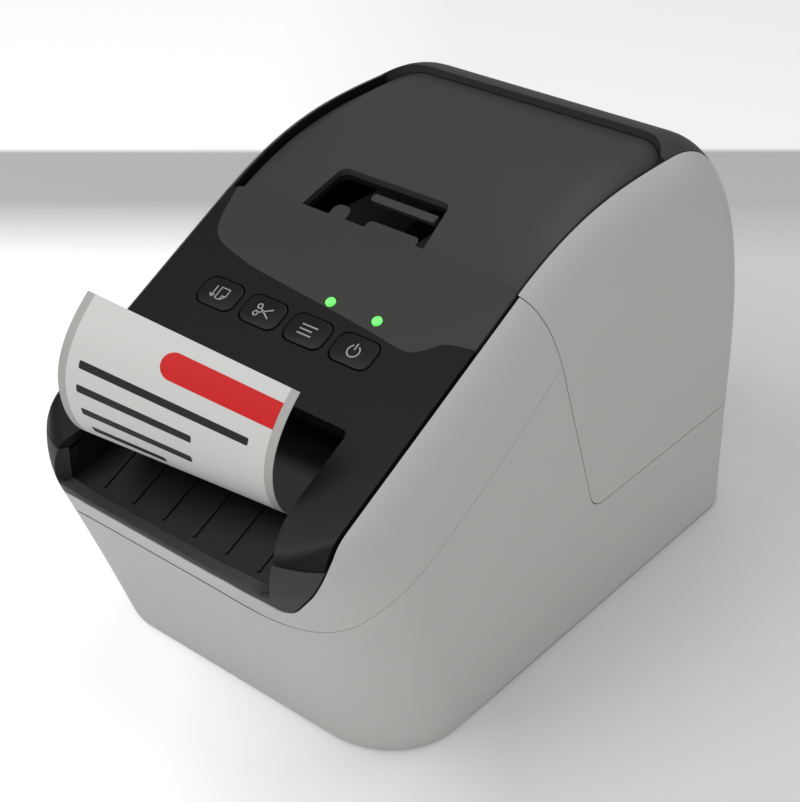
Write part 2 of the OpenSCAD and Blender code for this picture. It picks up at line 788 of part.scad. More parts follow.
platen_teeth = 24;
idler_teeth = 36;
pinion_teeth = 12;
cutter_teeth = 10;
mesh_slack = 0.15;
function pitch_r(n) = gear_module * n / 2;
function centre_gap(a, b) = pitch_r(a) + pitch_r(b) + mesh_slack;
idler_turn = -60;
idler_c = [nip_y, platen_z] + centre_gap(platen_teeth, idler_teeth) * [cos(idler_turn), sin(idler_turn)];
pinion_turn = -100;
pinion_c = idler_c + centre_gap(idler_teeth, pinion_teeth) * [cos(pinion_turn), sin(pinion_turn)];
axle_r = 2;
gear_x = plate_x + plate_thick + seat_gap;
gear_w = 4;

blade_edge = 1.5;
blade_half_w = plate_x - blade_edge;
rack_in = 0.9;
rack_x = rack_in - blade_half_w;
rack_w = 3;
tooth_depth_share = 2.25;
rack_depth = gear_module * tooth_depth_share;
blade_t = 0.8;
cutter_under = 26.6;
cutter_z = nip_z - cutter_under;
cutter_c = [cut_y + blade_t / 2 + rack_depth + pitch_r(cutter_teeth) - gear_module + mesh_slack, cutter_z];
cutter_shaft_r = 1.5;

module chassis() {
    color("silver") difference() {
        union() {
            for (s = [-1, 1]) side(s > 0 ? plate_x : -plate_x - plate_thick,
                s > 0 ? plate_x + plate_thick : -plate_x)
                polygon([[chassis_y[0], floor_top], [chassis_y[0], chassis_top_z],
                    [cut_y, chassis_top_z + over], [nip_y - bush_r - over, chassis_high[1] - over],
                    chassis_high,
                    [chassis_y[1], chassis_top_z], [chassis_y[1], floor_top]]);
            side(-plate_x - sliver, plate_x + sliver) polygon([[bar_y[0], bar_z], [bar_y[1], bar_z],
                [bar_y[1], bar_z + bar_t], [bar_y[0], bar_z + bar_t]]);
        }
        along_x(-plate_x - over, -plate_x + over, nip_y, platen_z, bush_r);
        along_x(plate_x - over, plate_x + over, nip_y, platen_z, bush_r);
        along_x(plate_x - over, plate_x + over, pinion_c[0], pinion_c[1], axle_r + seat_gap);
    }
    // The idler's axle, riveted to the right plate
    color("silver") along_x(plate_x + plate_thick - sliver, gear_x + gear_w + seat_gap,
        idler_c[0], idler_c[1], axle_r);
}

module platen_bearings() {
    color("ivory") for (s = [-1, 1]) difference() {
        along_x(s > 0 ? plate_x : -plate_x - plate_thick, s > 0 ? plate_x + plate_thick : -plate_x,
            nip_y, platen_z, bush_r);
        along_x(-far, far, nip_y, platen_z, shaft_r + run_gap);
    }
}

head_over = 4;
head_w = label_w + 2 * head_over;
head_t = 1.2;
head_l = 9;
sink_t = 5.5;
sink_l = 13;
fin_count = 5;
module print_head() {
    top = nip_z - label_t / 2 - run_gap;
    color("ivory") translate([-head_w / 2, nip_y - head_l / 2, top - head_t]) cube([head_w, head_l, head_t]);
    color("darkgray") difference() {
        translate([-head_w / 2, nip_y - sink_l / 2, top - head_t - sink_t])
            cube([head_w, sink_l, sink_t + sliver]);
        for (i = [1:fin_count - 1])
            translate([-far, nip_y - sink_l / 2 + i * sink_l / fin_count - fin_gap / 2,
                top - head_t - sink_t - over]) cube([2 * far, fin_gap, over + sink_t / 2]);
    }
}
fin_gap = 1;

spring_xs = [-22, 22];
spring_r = 3;
spring_wire = 0.6;
module head_springs() {
    low = bar_z + bar_t;
    high = nip_z - label_t / 2 - run_gap - head_t - sink_t;
    color("silver") for (x = spring_xs) translate([x, nip_y, low]) difference() {
        cylinder(r = spring_r, h = high - low);
        translate([0, 0, -over]) cylinder(r = spring_r - spring_wire, h = high - low + 2 * over);
    }
}

blade_high = 7;
blade_lift = 1.1;
fixed_t = 0.8;
module cutter_frame() {
    w = plate_x - seat_gap;
    front = cut_y - blade_t / 2 - 2 * run_gap;
    color([0.1, 0.1, 0.1]) {
        // The fixed blade's bar, under the label
        translate([-w, front - fixed_t, nip_z - label_t / 2 - run_gap - frame_h])
            cube([2 * w, fixed_t, frame_h]);
        // The dark hood over the label's way out
        translate([-w, front - fixed_t - hood_t, nip_z + hood_lift]) cube([2 * w, hood_t, hood_h]);
        for (s = [-1, 1]) translate([s > 0 ? w - post_w : -w, front - fixed_t - hood_t, nip_z - frame_h])
            cube([post_w, hood_t + sliver, frame_h + hood_lift + sliver]);
    }
}
frame_h = 9;
hood_t = 2;
hood_lift = 1.6;
hood_h = 9;
post_w = 2.5;

cutter_motor_r = 7.5;
cutter_motor_l = 22;
module cutter_motor() {
    x0 = rack_x + rack_w + pass_gap;
    color("dimgray") {
        along_x(x0 + over, x0 + over + cutter_motor_l, cutter_c[0], cutter_c[1], cutter_motor_r);
        // The motor's bracket, down to the bottom plate
        side(x0 + 2 * over, x0 + 2 * over + bracket_t) polygon([
            [cutter_c[0] - bracket_half, floor_top], [cutter_c[0] + bracket_half, floor_top],
            [cutter_c[0] + bracket_half, cutter_c[1]], [cutter_c[0] - bracket_half, cutter_c[1]]]);
    }
    color("silver") difference() {
        along_x(x0, x0 + over + sliver, cutter_c[0], cutter_c[1], cutter_shaft_r * 2);
        along_x(x0 - over, x0 + over / 2, cutter_c[0], cutter_c[1], cutter_shaft_r + run_gap);
    }
}
bracket_t = 2;
bracket_half = 5;

motor_l = 22;
module feed_motor() {
    color("dimgray") difference() {
        union() {
            along_x(plate_x - motor_l, plate_x, pinion_c[0], pinion_c[1], motor_r);
            side(plate_x - motor_l, plate_x - motor_l + bracket_t) polygon([
                [pinion_c[0] - bracket_half, floor_top], [pinion_c[0] + bracket_half, floor_top],
                [pinion_c[0] + bracket_half, pinion_c[1]], [pinion_c[0] - bracket_half, pinion_c[1]]]);
        }
        along_x(plate_x - shaft_in, plate_x + over, pinion_c[0], pinion_c[1], axle_r + run_gap);
    }
}
shaft_in = 8;

// A spur gear's outline: straight-flanked teeth, thinned by the backlash
backlash_share = 0.06;
root_share = 1.25;
root_width_share = 1.75;
tip_width_share = 0.45;
flank_share = 0.25;
function gear_points(n) = let (r = pitch_r(n), step = 360 / n,
    tip = r + gear_module, root = r - gear_module * root_share,
    half = step * (flank_share - backlash_share / 2))
    [for (i = [0:n - 1]) each [
        root * [cos(i * step - half * root_width_share), sin(i * step - half * root_width_share)],
        r * [cos(i * step - half), sin(i * step - half)],
        tip * [cos(i * step - half * tip_width_share), sin(i * step - half * tip_width_share)],
        tip * [cos(i * step + half * tip_width_share), sin(i * step + half * tip_width_share)],
        r * [cos(i * step + half), sin(i * step + half)],
        root * [cos(i * step + half * root_width_share), sin(i * step + half * root_width_share)]]];

module gear(n, turn, bore) {
    rotate(turn) difference() {
        polygon(gear_points(n));
        circle(bore);
    }
}

// The turn that puts a tooth gap of the second gear where the first one's tooth points
function mesh_turn(n, turn_first, n_first, at) = let (
    phase = (at - turn_first) / 360 * n_first,
    frac = phase - floor(phase))
    at + 180 + (frac - 0.5) * 360 / n;

idler_phase = mesh_turn(idler_teeth, 0, platen_teeth, idler_turn);
pinion_phase = mesh_turn(pinion_teeth, idler_phase, idler_teeth, pinion_turn);

platen_over = 2;
platen_w = label_w + 2 * platen_over;
platen_rubber = 2;
module platen_roller() {
    color("dimgray") along_x(-platen_w / 2, platen_w / 2, nip_y, platen_z, platen_r);
    color("silver") along_x(-plate_x - plate_thick - shaft_end, gear_x + gear_w + shaft_end,
        nip_y, platen_z, shaft_r);
}
shaft_end = 1.5;

module platen_gear() {
    color("white") side(gear_x, gear_x + gear_w) translate([nip_y, platen_z])
        gear(platen_teeth, 0, shaft_r);
}

module idler_gear() {
    color("white") side(gear_x, gear_x + gear_w) translate(idler_c)
        gear(idler_teeth, idler_phase, axle_r + run_gap);
}

module motor_pinion() {
    color("goldenrod") side(gear_x, gear_x + gear_w) translate(pinion_c)
        gear(pinion_teeth, pinion_phase, axle_r);
    color("silver") along_x(plate_x - shaft_in + seat_gap, gear_x + gear_w + seat_gap,
        pinion_c[0], pinion_c[1], axle_r);
}

// The moving blade, with a leg past each edge of the label and a rack on the left leg
rack_pitch = PI * gear_module;
rack_root_share = 0.38;
rack_tip_share = 0.14;
rack_low = rack_depth - 2 * gear_module;
rack_count = 9;
leg_under = 32.6;
leg_low = nip_z - leg_under;
leg_w = 4;
module cutter_blade() {
    low = nip_z + label_t / 2 + blade_lift;
    back = cut_y + blade_t / 2;
    color("lightsteelblue") {
        translate([-blade_half_w, cut_y - blade_t / 2, low]) cube([2 * blade_half_w, blade_t, blade_high]);
        for (s = [-1, 1])
            translate([s > 0 ? blade_half_w - leg_w : -blade_half_w, cut_y - blade_t / 2, leg_low])
            cube([leg_w, blade_t, low - leg_low + sliver]);
        side(rack_x, rack_x + rack_w) polygon(concat(
            [[back - sliver, leg_low]],
            [for (i = [-rack_count:rack_count]) let (z = cutter_c[1] + (i + 0.5) * rack_pitch)
                if (z > leg_low + rack_pitch && z < rack_high) each [
                    [back + rack_low, z - rack_pitch * (rack_root_share - backlash_share)],
                    [back + rack_depth, z - rack_pitch * (rack_tip_share - backlash_share / 2)],
                    [back + rack_depth, z + rack_pitch * (rack_tip_share - backlash_share / 2)],
                    [back + rack_low, z + rack_pitch * (rack_root_share - backlash_share)]]],
            [[back - sliver, rack_high]]));
    }
}
rack_under = 14.6;
rack_high = nip_z - rack_under;

module cutter_pinion() {
    x0 = rack_x + rack_w + pass_gap;
    color("goldenrod") side(rack_x, rack_x + rack_w) translate(cutter_c)
        gear(cutter_teeth, 180, cutter_shaft_r);
    color("silver") along_x(rack_x, x0 + over / 2 - seat_gap, cutter_c[0], cutter_c[1], cutter_shaft_r);
}

// Boards and sockets
board_share = 0.357;
board_x = bay_out + board_share * side_room;
main_ahead = 50;
main_behind = 22.5;
main_y = [roll_y - main_ahead, rear_y - main_behind];
main_top = 37;
module main_board() {
    color("darkgreen") translate([board_x, main_y[0], floor_top])
        cube([board_t, main_y[1] - main_y[0], main_top - floor_top]);
    color("black") for (i = [0:chip_count - 1])
        translate([board_x - chip_t, main_y[0] + chip_first + i * chip_pitch, chip_z])
            cube([chip_t + sliver, chip_l, chip_l]);
}
chip_t = 1.4;
chip_l = 10;
chip_count = 3;
chip_first = 12;
chip_pitch = 18;
chip_z = 18;

power_ahead = 28;
power_behind = 16.5;
power_y = [roll_y - power_ahead, rear_y - power_behind];
power_in = 7.05;
power_x = power_in - half_w;
power_top = 37;
module power_board() {
    color("darkgreen") translate([power_x, power_y[0], floor_top])
        cube([board_t, power_y[1] - power_y[0], power_top - floor_top]);
    color("gold") translate([power_x + board_t - sliver, power_y[0] + coil_first, coil_z])
        cube([coil_d, coil_l, coil_l]);
    color("navy") for (i = [0:1]) along_x(power_x + board_t - sliver, power_x + board_t + coil_d,
        power_y[0] + cap_first + i * cap_pitch, coil_z + cap_r, cap_r);
}
coil_first = 4;
coil_z = 12;
coil_share = 0.36;
coil_d = coil_share * side_room;
coil_l = 16;
cap_first = 28;
cap_pitch = 13;
cap_r = 5;

inlet_depth = 11;
inlet_wall = 1.6;
pin_r = 1.3;
pin_gap = 9;
module mains_inlet() {
    back = rear_y - rear_setback;
    w = inlet_w - 2 * seat_gap;
    h = inlet_h - 2 * seat_gap;
    color("black") difference() {
        translate([inlet_x - w / 2, back - inlet_depth, inlet_z - h / 2]) cube([w, inlet_depth, h]);
        translate([inlet_x - w / 2 + inlet_wall * 2, back - inlet_depth + inlet_wall,
            inlet_z - h / 2 + inlet_wall * 2])
            cube([w - 4 * inlet_wall, inlet_depth, h - 4 * inlet_wall]);
    }
    color("silver") for (s = [-1, 1])
        translate([inlet_x + s * pin_gap / 2, back - inlet_depth + inlet_wall - sliver, inlet_z])
        rotate([-90, 0, 0]) cylinder(r = pin_r, h = inlet_depth - 2 * inlet_wall);
}

usb_depth = 12.8;
usb_wall = 0.8;
module usb_socket() {
    back = rear_y - usb_back;
    w = usb_w - 2 * seat_gap;
    h = usb_h - 2 * seat_gap;
    color("silver") difference() {
        translate([usb_x - w / 2, back - usb_depth, usb_z - h / 2]) cube([w, usb_depth, h]);
        translate([usb_x - w / 2 + usb_wall, back - usb_depth + usb_wall, usb_z - h / 2 + usb_wall])
            cube([w - 2 * usb_wall, usb_depth, h - 2 * usb_wall]);
    }
    color("white") translate([usb_x - usb_tongue_w / 2, back - usb_depth + usb_wall - sliver,
        usb_z - usb_tongue_h / 2])
        cube([usb_tongue_w, usb_depth - 3 * usb_wall, usb_tongue_h]);
}
usb_back = 5;
usb_tongue_w = 3;
usb_tongue_h = 2;

board_w = 72;
board_low = 7;
board_high = 14;
switch_w = 6;
switch_h = 3.2;
module button_board() {
    color("darkgreen") on_face(button_mid_x, button_y, -board_depth - board_t)
        translate([-board_w / 2, -board_low, 0]) cube([board_w, board_low + board_high, board_t]);
    color("black") for (i = [0:3]) on_face(button_x(i), button_y, -board_depth - sliver)
        translate([-switch_w / 2, -switch_w / 2, 0]) cube([switch_w, switch_w, switch_h - cap_stem]);
}
cap_stem = 1.2;

module light_pipes() {
    color([0.42, 1, 0.42]) for (x = pipe_xs) on_face(x, pipe_y, -board_depth + seat_gap)
        cylinder(r = pipe_r, h = board_depth);
}

module button(i) {
    stem_low = -board_depth + switch_h - cap_stem + button_travel + run_gap;
    color([0.13, 0.13, 0.125]) on_face(button_x(i), button_y) {
        translate([0, 0, -wall - flange_gap - sliver])
            linear_extrude(wall + flange_gap + button_proud + sliver)
                rounded(button_w, button_h, button_corner_r);
        translate([0, 0, -wall - flange_gap - flange_t]) linear_extrude(flange_t)
            rounded(button_w + 2 * flange_out, button_h + 2 * flange_out, button_corner_r);
        translate([0, 0, stem_low]) cylinder(r = stem_r, h = -wall - stem_low);
    }
}
flange_t = 0.8;
flange_gap = 0.2;
flange_out = 0.8;
stem_r = 1.5;

module feed_button() { button(0); }
module cut_button() { button(1); }
module mode_button() { button(2); }
module power_button() { button(3); }

// The bay that holds the roll, and the spool that seats in its slots
bay_r = 42;
bay_lead = 4;
trough_under = 10;
trough_back_z = hinge_z - trough_under;
bay_rear = 18.5;
bay_back_y = rear_y - bay_rear;
spool_end_r = 5;
spool_flange_r = 34;
spool_flange_t = 1.4;
bay_front_y = roll_y - spool_flange_r - bay_lead;
module roll_bay() {
    color([0.14, 0.14, 0.14]) {
        // The trough under the roll, low enough at the rear for the lid's tail
        side(-bay_half_w, bay_half_w) intersection() {
            difference() {
                translate([roll_y, roll_z]) circle(bay_r + bay_t);
                translate([roll_y, roll_z]) circle(bay_r);
            }
            polygon([[roll_y - bay_r / 2, -far], [far, -far], [far, trough_back_z],
                [roll_y - bay_r / 2, trough_back_z]]);
        }
        for (s = [-1, 1]) difference() {
            side(s > 0 ? bay_half_w - sliver : -bay_out, s > 0 ? bay_out : -bay_half_w + sliver)
                polygon([[bay_front_y, floor_top], [bay_back_y, floor_top],
                    [bay_back_y, roll_z], [roll_y + bay_r / 2, bay_top], [roll_y - bay_r / 2, bay_top],
                    [bay_front_y, roll_z]]);
            along_x(-far, far, roll_y, roll_z, spool_end_r + seat_gap);
            translate([-far, roll_y - spool_end_r - seat_gap, roll_z])
                cube([2 * far, 2 * (spool_end_r + seat_gap), far]);
        }
    }
}
bay_over = 14;
bay_top = roll_z + bay_over;

module spool() {
    x1 = label_w / 2 + pass_gap;
    color([0.2, 0.2, 0.2]) difference() {
        union() {
            along_x(-x1 - sliver, x1 + sliver, roll_y, roll_z, spool_r);
            for (s = [-1, 1]) along_x(s > 0 ? x1 : -x1 - spool_flange_t, s > 0 ? x1 + spool_flange_t : -x1,
                roll_y, roll_z, spool_flange_r);
            along_x(-bay_half_w - bay_t, bay_half_w + bay_t, roll_y, roll_z, spool_end_r);
        }
        along_x(-far, far, roll_y, roll_z, spool_end_r - bay_t);
    }
}

core_t = 1.6;
module roll_core() {
    color("tan") difference() {
        along_x(-label_w / 2, label_w / 2, roll_y, roll_z, spool_r + run_gap + core_t);
        along_x(-far, far, roll_y, roll_z, spool_r + run_gap);
    }
}

module label_roll() {
    color("white") difference() {
        along_x(-label_w / 2, label_w / 2, roll_y, roll_z, roll_r);
        along_x(-far, far, roll_y, roll_z, spool_r + run_gap + core_t);
    }
}

// Hinge: brackets on the bay's side walls reach back to the pins, over the lid's swinging tail
pin_l = bracket_w + arm_w + seat_gap;
bracket_run = 22;
bracket_front_y = bay_back_y - bracket_run;
bracket_drop = 12;
module hinge_brackets() {
    color([0.14, 0.14, 0.14]) for (s = [0, 1]) mirror([s, 0, 0]) difference() {
        union() {
            side(bracket_x, bracket_x + bracket_w) polygon([
                [bracket_front_y, hinge_z - bracket_drop], [bay_back_y, hinge_z - bracket_drop],
                [bay_back_y, hinge_z - knuckle_r + seat_gap], [hinge_y, hinge_z - knuckle_r + seat_gap],
                [hinge_y, hinge_z + knuckle_r - seat_gap], [bay_back_y, hinge_z + bracket_drop / 2],
                [bracket_front_y, hinge_z + bracket_drop / 2]]);
            along_x(bracket_x, bracket_x + bracket_w, hinge_y, hinge_z, knuckle_r);
        }
        along_x(bracket_x - over, bracket_x + bracket_w + over, hinge_y, hinge_z, hinge_pin_r);
    }
}

module hinge_pins() {
    color("silver") for (s = [0, 1]) mirror([s, 0, 0])
        along_x(bracket_x, bracket_x + pin_l, hinge_y, hinge_z, hinge_pin_r);
}

arm_rise = 36;
arm_top = hinge_z + arm_rise;
arm_lift = 1;
arm_low_z = hinge_z + arm_lift;
module lid_arms() {
    x0 = bracket_x + bracket_w + seat_gap;
    color([0.12, 0.12, 0.12]) for (s = [0, 1]) mirror([s, 0, 0]) difference() {
        union() {
            along_x(x0, x0 + arm_w, hinge_y, hinge_z, knuckle_r);
            side(x0, x0 + arm_w) intersection() {
                polygon([[hinge_y - knuckle_r, hinge_z], [hinge_y + over / 2, hinge_z],
                    [rear_y, arm_low_z], [rear_y, arm_top], [rear_y - 4 * knuckle_r, arm_top]]);
                offset(delta = -wall - seat_gap) polygon(outline(x0 + arm_w + wall));
            }
        }
        along_x(x0 - over, x0 + arm_w + over, hinge_y, hinge_z, hinge_pin_r + run_gap);
    }
}

// The switch that feels the lid, on a post beside the bay
switch_in = 10.65;
switch_back = 106.5;
switch_post = [switch_in - half_w, front_y + switch_back];
switch_under = 9.3;
switch_post_top = joint_p[1] - switch_under;
switch_post_w = 4;
module cover_switch() {
    color("black") translate([switch_post[0], switch_post[1], floor_top])
        cube([switch_post_w, switch_post_w * 2, switch_post_top - floor_top]);
    color("white")
        translate([switch_post[0] + switch_post_w / 2, switch_post[1] + switch_post_w,
            switch_post_top - sliver])
        cylinder(r = stem_r, h = 2 * stem_r);
}

// The lid
plate_side = 1.1;
plate_x_half = edge_x - plate_side;
plate_back = 4.8;
plate_back_y = crest_y + plate_back;
plate_corner_r = 13;
cover_back = 5;
cover_front_y = crest_y + cover_back;
window_x = -5.9;
window_slant = 1.9;
window_corner_r = 3;

module window_plan(grow) {
    y1 = lid_front_y + window_l;
    offset(delta = grow) hull() {
        for (s = [-1, 1]) translate([window_x + s * (window_w / 2 - window_slant - window_corner_r),
            y1 - window_corner_r]) circle(window_corner_r);
        for (s = [-1, 1])
            translate([window_x + s * (window_w / 2 + window_slant) - sliver / 2, lid_front_y - 2 * over])
            square([sliver, over]);
    }
}

module plate_plan(grow) {
    offset(delta = grow) intersection() {
        translate([0, plate_back_y - far / 2])
            rounded(2 * plate_x_half, far, plate_corner_r);
        lid_plan();
    }
}

module lid_top() {
    color([0.27, 0.27, 0.27]) difference() {
        intersection() {
            shell(plate_recess, plate_recess + plate_t);
            above(band_z, far) plate_plan(0);
        }
        above(0, far) window_plan(0);
    }
}

module lid_side() {
    intersection() {
        shell(0, wall);
        side(-far, far) lid_region();
        translate([edge_x, -far, 0]) cube([far, 2 * far, far]);
    }
}

module lid_side_right() {
    color("gainsboro") lid_side();
}

module lid_side_left() {
    color("gainsboro") mirror([1, 0, 0]) lid_side();
}

module rear_cover() {
    color([0.24, 0.24, 0.24]) difference() {
        intersection() {
            shell(0, wall);
            side(-far, far) lid_region();
            translate([-edge_x + seat_gap, cover_front_y - cover_horn, 0])
                cube([2 * (edge_x - seat_gap), far, far]);
        }
        above(0, far) plate_plan(cover_gap);
    }
}
cover_gap = 0.3;
cover_horn = 8;

// The dark liner under the plate. It carries the plate, the side panels and the rear cover
liner_t = 1.6;
liner_under = 5.3;
liner_low_z = joint_p[1] - liner_under;
module lid_liner() {
    outer = plate_recess + plate_t + run_gap;
    color([0.06, 0.06, 0.06]) difference() {
        intersection() {
            form(seat_gap);
            side(-far, far) lid_region();
            above(liner_low_z, far) lid_plan_wide();
        }
        form(outer + liner_t);
        // Room for the plate
        difference() {
            above(0, far) plate_plan(run_gap);
            form(outer);
        }
        // Room for the side panels and the rear cover, which leaves a rim beside the plate
        difference() {
            above(0, far) difference() {
                square(2 * far, center = true);
                translate([-edge_x + seat_gap, -far])
                    square([2 * (edge_x - seat_gap), far + cover_front_y - cover_horn - seat_gap]);
            }
            form(wall + run_gap);
        }
        above(0, far) window_plan(seat_gap);
    }
}
module lid_plan_wide() {
    offset(delta = -seam / 2) polygon(concat(
        [[-half_w, lid_front(edge_x)]], lid_front_line, [[half_w, lid_front(edge_x)]],
        [[half_w, far], [-half_w, far]]));
}

// The finger bar across the window, level with the plate, just short of the window's right edge
bar_up = 10.4;
bar_wide = 2.6;
bar_thick = 1.6;
bar_left = 3;
bar_sink = 1;
bar_right_gap = 2.6;
module window_bar() {
    x0 = window_x - bar_left;
    x1 = window_x + window_w / 2 - bar_right_gap;
    color([0.2, 0.2, 0.2]) on_face(0, lid_front_y + bar_up, -plate_recess - bar_sink - bar_thick) {
        translate([x0, -bar_wide / 2, 0]) cube([x1 - x0, bar_wide, bar_thick]);
        translate([x0, 0, 0]) cylinder(r = bar_wide / 2, h = bar_thick);
    }
}

lower_case();
bottom_plate();
rubber_feet();
case_screws();
front_frame();
face_panel();
accent_panel();
outlet_lip();
label_tray();
printed_label();
label_web();
chassis();
platen_bearings();
print_head();
head_springs();
cutter_frame();
cutter_motor();
feed_motor();
main_board();
power_board();
mains_inlet();
usb_socket();
button_board();
light_pipes();
roll_bay();
spool();
hinge_brackets();
hinge_pins();
cover_switch();
lid_top();
lid_side_left();
lid_side_right();
rear_cover();
lid_liner();
lid_arms();
window_bar();
feed_button();
cut_button();
mode_button();
power_button();
platen_roller();
platen_gear();
idler_gear();
motor_pinion();
label_roll();
roll_core();
cutter_blade();
cutter_pinion();
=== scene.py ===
"""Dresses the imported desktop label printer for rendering.

The fine casing repeats the casing's form from the part's source at a higher resolution, and its
pieces replace the nodes of the same names. Sizes in the classes are in millimetres.
"""

from __future__ import annotations

import logging  # noqa: E402
import math  # noqa: E402
from dataclasses import dataclass, field  # noqa: E402
from enum import Enum  # noqa: E402
from typing import Any, Callable, Iterable, Sequence  # noqa: E402

import bmesh  # noqa: E402
import bpy  # noqa: E402
from mathutils import Matrix, Vector  # noqa: E402


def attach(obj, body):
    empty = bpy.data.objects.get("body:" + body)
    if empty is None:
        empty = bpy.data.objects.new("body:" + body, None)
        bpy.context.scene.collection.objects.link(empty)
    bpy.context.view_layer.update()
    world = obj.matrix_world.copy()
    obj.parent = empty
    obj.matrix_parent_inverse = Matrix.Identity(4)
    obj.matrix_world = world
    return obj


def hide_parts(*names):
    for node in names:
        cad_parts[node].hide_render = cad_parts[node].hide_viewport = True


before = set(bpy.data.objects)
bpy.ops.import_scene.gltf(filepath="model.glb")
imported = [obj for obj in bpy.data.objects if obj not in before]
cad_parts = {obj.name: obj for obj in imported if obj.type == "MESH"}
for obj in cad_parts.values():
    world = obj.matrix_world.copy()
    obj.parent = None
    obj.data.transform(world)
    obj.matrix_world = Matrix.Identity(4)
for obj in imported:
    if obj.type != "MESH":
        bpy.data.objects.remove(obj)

LOG = logging.getLogger("printer")
MM = 0.001
TINY = 1e-6
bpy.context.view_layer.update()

Point = tuple[float, float]


# Small helpers


def bezier(p: Point, q: Point, r: Point, s: Point, t: float) -> Point:
    """Returns a point on a cubic curve.

    Args:
        p: First end.
        q: First handle.
        r: Second handle.
        s: Last end.
        t: Place on the curve, 0 to 1.

    Returns:
        The point.
    """
    u = 1 - t
    w = (u**3, 3 * u * u * t, 3 * u * t * t, t**3)
    return (
        p[0] * w[0] + q[0] * w[1] + r[0] * w[2] + s[0] * w[3],
        p[1] * w[0] + q[1] * w[1] + r[1] * w[2] + s[1] * w[3],
    )


def curve(p: Point, q: Point, r: Point, s: Point, steps: int) -> list[Point]:
    """Returns a cubic curve as points, both ends included."""
    return [bezier(p, q, r, s, i / steps) for i in range(steps + 1)]


def fillet(p: Point, corner: Point, q: Point, radius: float, steps: int = 10) -> list[Point]:
    """Rounds a corner.

    Args:
        p: A point before the corner.
        corner: The corner.
        q: A point after the corner.
        radius: The rounding's radius.
        steps: Number of chords.

    Returns:
        The arc's points, from the side of p to the side of q.
    """
    c = Vector(corner)
    a = (Vector(p) - c).normalized()
    b = (Vector(q) - c).normalized()
    half = a.angle(b) / 2
    centre = c + (a + b).normalized() * radius / math.sin(half)
    first = c + a * radius / math.tan(half) - centre
    last = c + b * radius / math.tan(half) - centre
    s = math.atan2(first.y, first.x)
    sweep = (math.atan2(last.y, last.x) - s + math.pi) % (2 * math.pi) - math.pi
    return [
        (
            centre.x + radius * math.cos(s + sweep * i / steps),
            centre.y + radius * math.sin(s + sweep * i / steps),
        )
        for i in range(steps + 1)
    ]


class Facing(Enum):
    """The ways in which a flat outline is stood up and given a length."""

    SIDE = "side"  # outline in (y, z), length along X
    TOP = "top"  # outline in (x, y), length along Z
    FRONT = "front"  # outline in (x, z), length along Y

    def place(self, a: float, b: float, c: float) -> Vector:
        """Returns the point at outline place (a, b) and length c, in metres."""
        if self is Facing.SIDE:
            return Vector((c, a, b)) * MM
        if self is Facing.TOP:
            return Vector((a, b, c)) * MM
        return Vector((a, c, b)) * MM


def ring(radius: float, steps: int = 48, centre: Point = (0.0, 0.0)) -> list[Point]:
    """Returns a circle as points."""
    angles = (2 * math.pi * i / steps for i in range(steps))
    return [(centre[0] + radius * math.cos(a), centre[1] + radius * math.sin(a)) for a in angles]


def box_outline(left: float, low: float, right: float, high: float) -> list[Point]:
    """Returns a box as points, from its lower left corner and against the clock."""
    return [(left, low), (right, low), (right, high), (left, high)]


def new_object(name: str, bm: bmesh.types.BMesh) -> bpy.types.Object:
    """Puts a finished bmesh into the scene as an object and frees it."""
    mesh = bpy.data.meshes.new(name)
    bm.to_mesh(mesh)
    bm.free()
    obj = bpy.data.objects.new(name, mesh)
    bpy.context.scene.collection.objects.link(obj)
    return obj


def prism(
    name: str, facing: Facing, outline: Sequence[Point], low: float, high: float
) -> bpy.types.Object:
    """Makes a closed solid by extruding a flat outline.

    Args:
        name: The object's name.
        facing: How the outline stands.
        outline: Its points in millimetres.
        low: Where the solid starts.
        high: Where it ends.

    Returns:
        The solid's object.
    """
    bm = bmesh.new()
    verts = [bm.verts.new(facing.place(a, b, low)) for a, b in outline]
    face = bm.faces.new(verts)
    made = bmesh.ops.extrude_face_region(bm, geom=[face])["geom"]
    step = facing.place(0, 0, high - low)
    bmesh.ops.translate(bm, vec=step, verts=[g for g in made if isinstance(g, bmesh.types.BMVert)])
    bmesh.ops.recalc_face_normals(bm, faces=bm.faces)
    return new_object(name, bm)


def shade(obj: bpy.types.Object, angle: float = 28.0) -> bpy.types.Object:
    """Smooths a piece's shading and keeps its edges sharp past an angle in degrees."""
    bm = bmesh.new()
    bm.from_mesh(obj.data)
    bmesh.ops.remove_doubles(bm, verts=bm.verts, dist=2e-6)
    bmesh.ops.dissolve_degenerate(bm, edges=bm.edges, dist=TINY)
    limit = math.radians(angle)
    for face in bm.faces:
        face.smooth = True
    for edge in bm.edges:
        edge.smooth = edge.is_manifold and edge.calc_face_angle(0.0) < limit
    bm.to_mesh(obj.data)
    bm.free()
    return obj


class Cut(Enum):
    """What a tool does to the solid it meets."""

    AWAY = "DIFFERENCE"
    KEEP = "INTERSECT"
    JOIN = "UNION"


def carve(base: bpy.types.Object, tool: bpy.types.Object, cut: Cut) -> bpy.types.Object:
    """Cuts a solid with another one, which is deleted afterwards.

    Args:
        base: The solid that changes.
        tool: The solid that cuts it.
        cut: What the tool does.

    Returns:
        The changed solid.
    """
    modifier = base.modifiers.new("cut", "BOOLEAN")
    modifier.operation = cut.value
    modifier.solver = "MANIFOLD"
    modifier.object = tool
    graph = bpy.context.evaluated_depsgraph_get()
    mesh = bpy.data.meshes.new_from_object(base.evaluated_get(graph))
    base.modifiers.remove(modifier)
    old, base.data = base.data, mesh
    bpy.data.meshes.remove(old)
    spent = tool.data
    bpy.data.objects.remove(tool)
    bpy.data.meshes.remove(spent)
    return base


def copy_of(obj: bpy.types.Object, name: str) -> bpy.types.Object:
    """Returns a copy of an object with its own mesh."""
    twin = bpy.data.objects.new(name, obj.data.copy())
    bpy.context.scene.collection.objects.link(twin)
    return twin


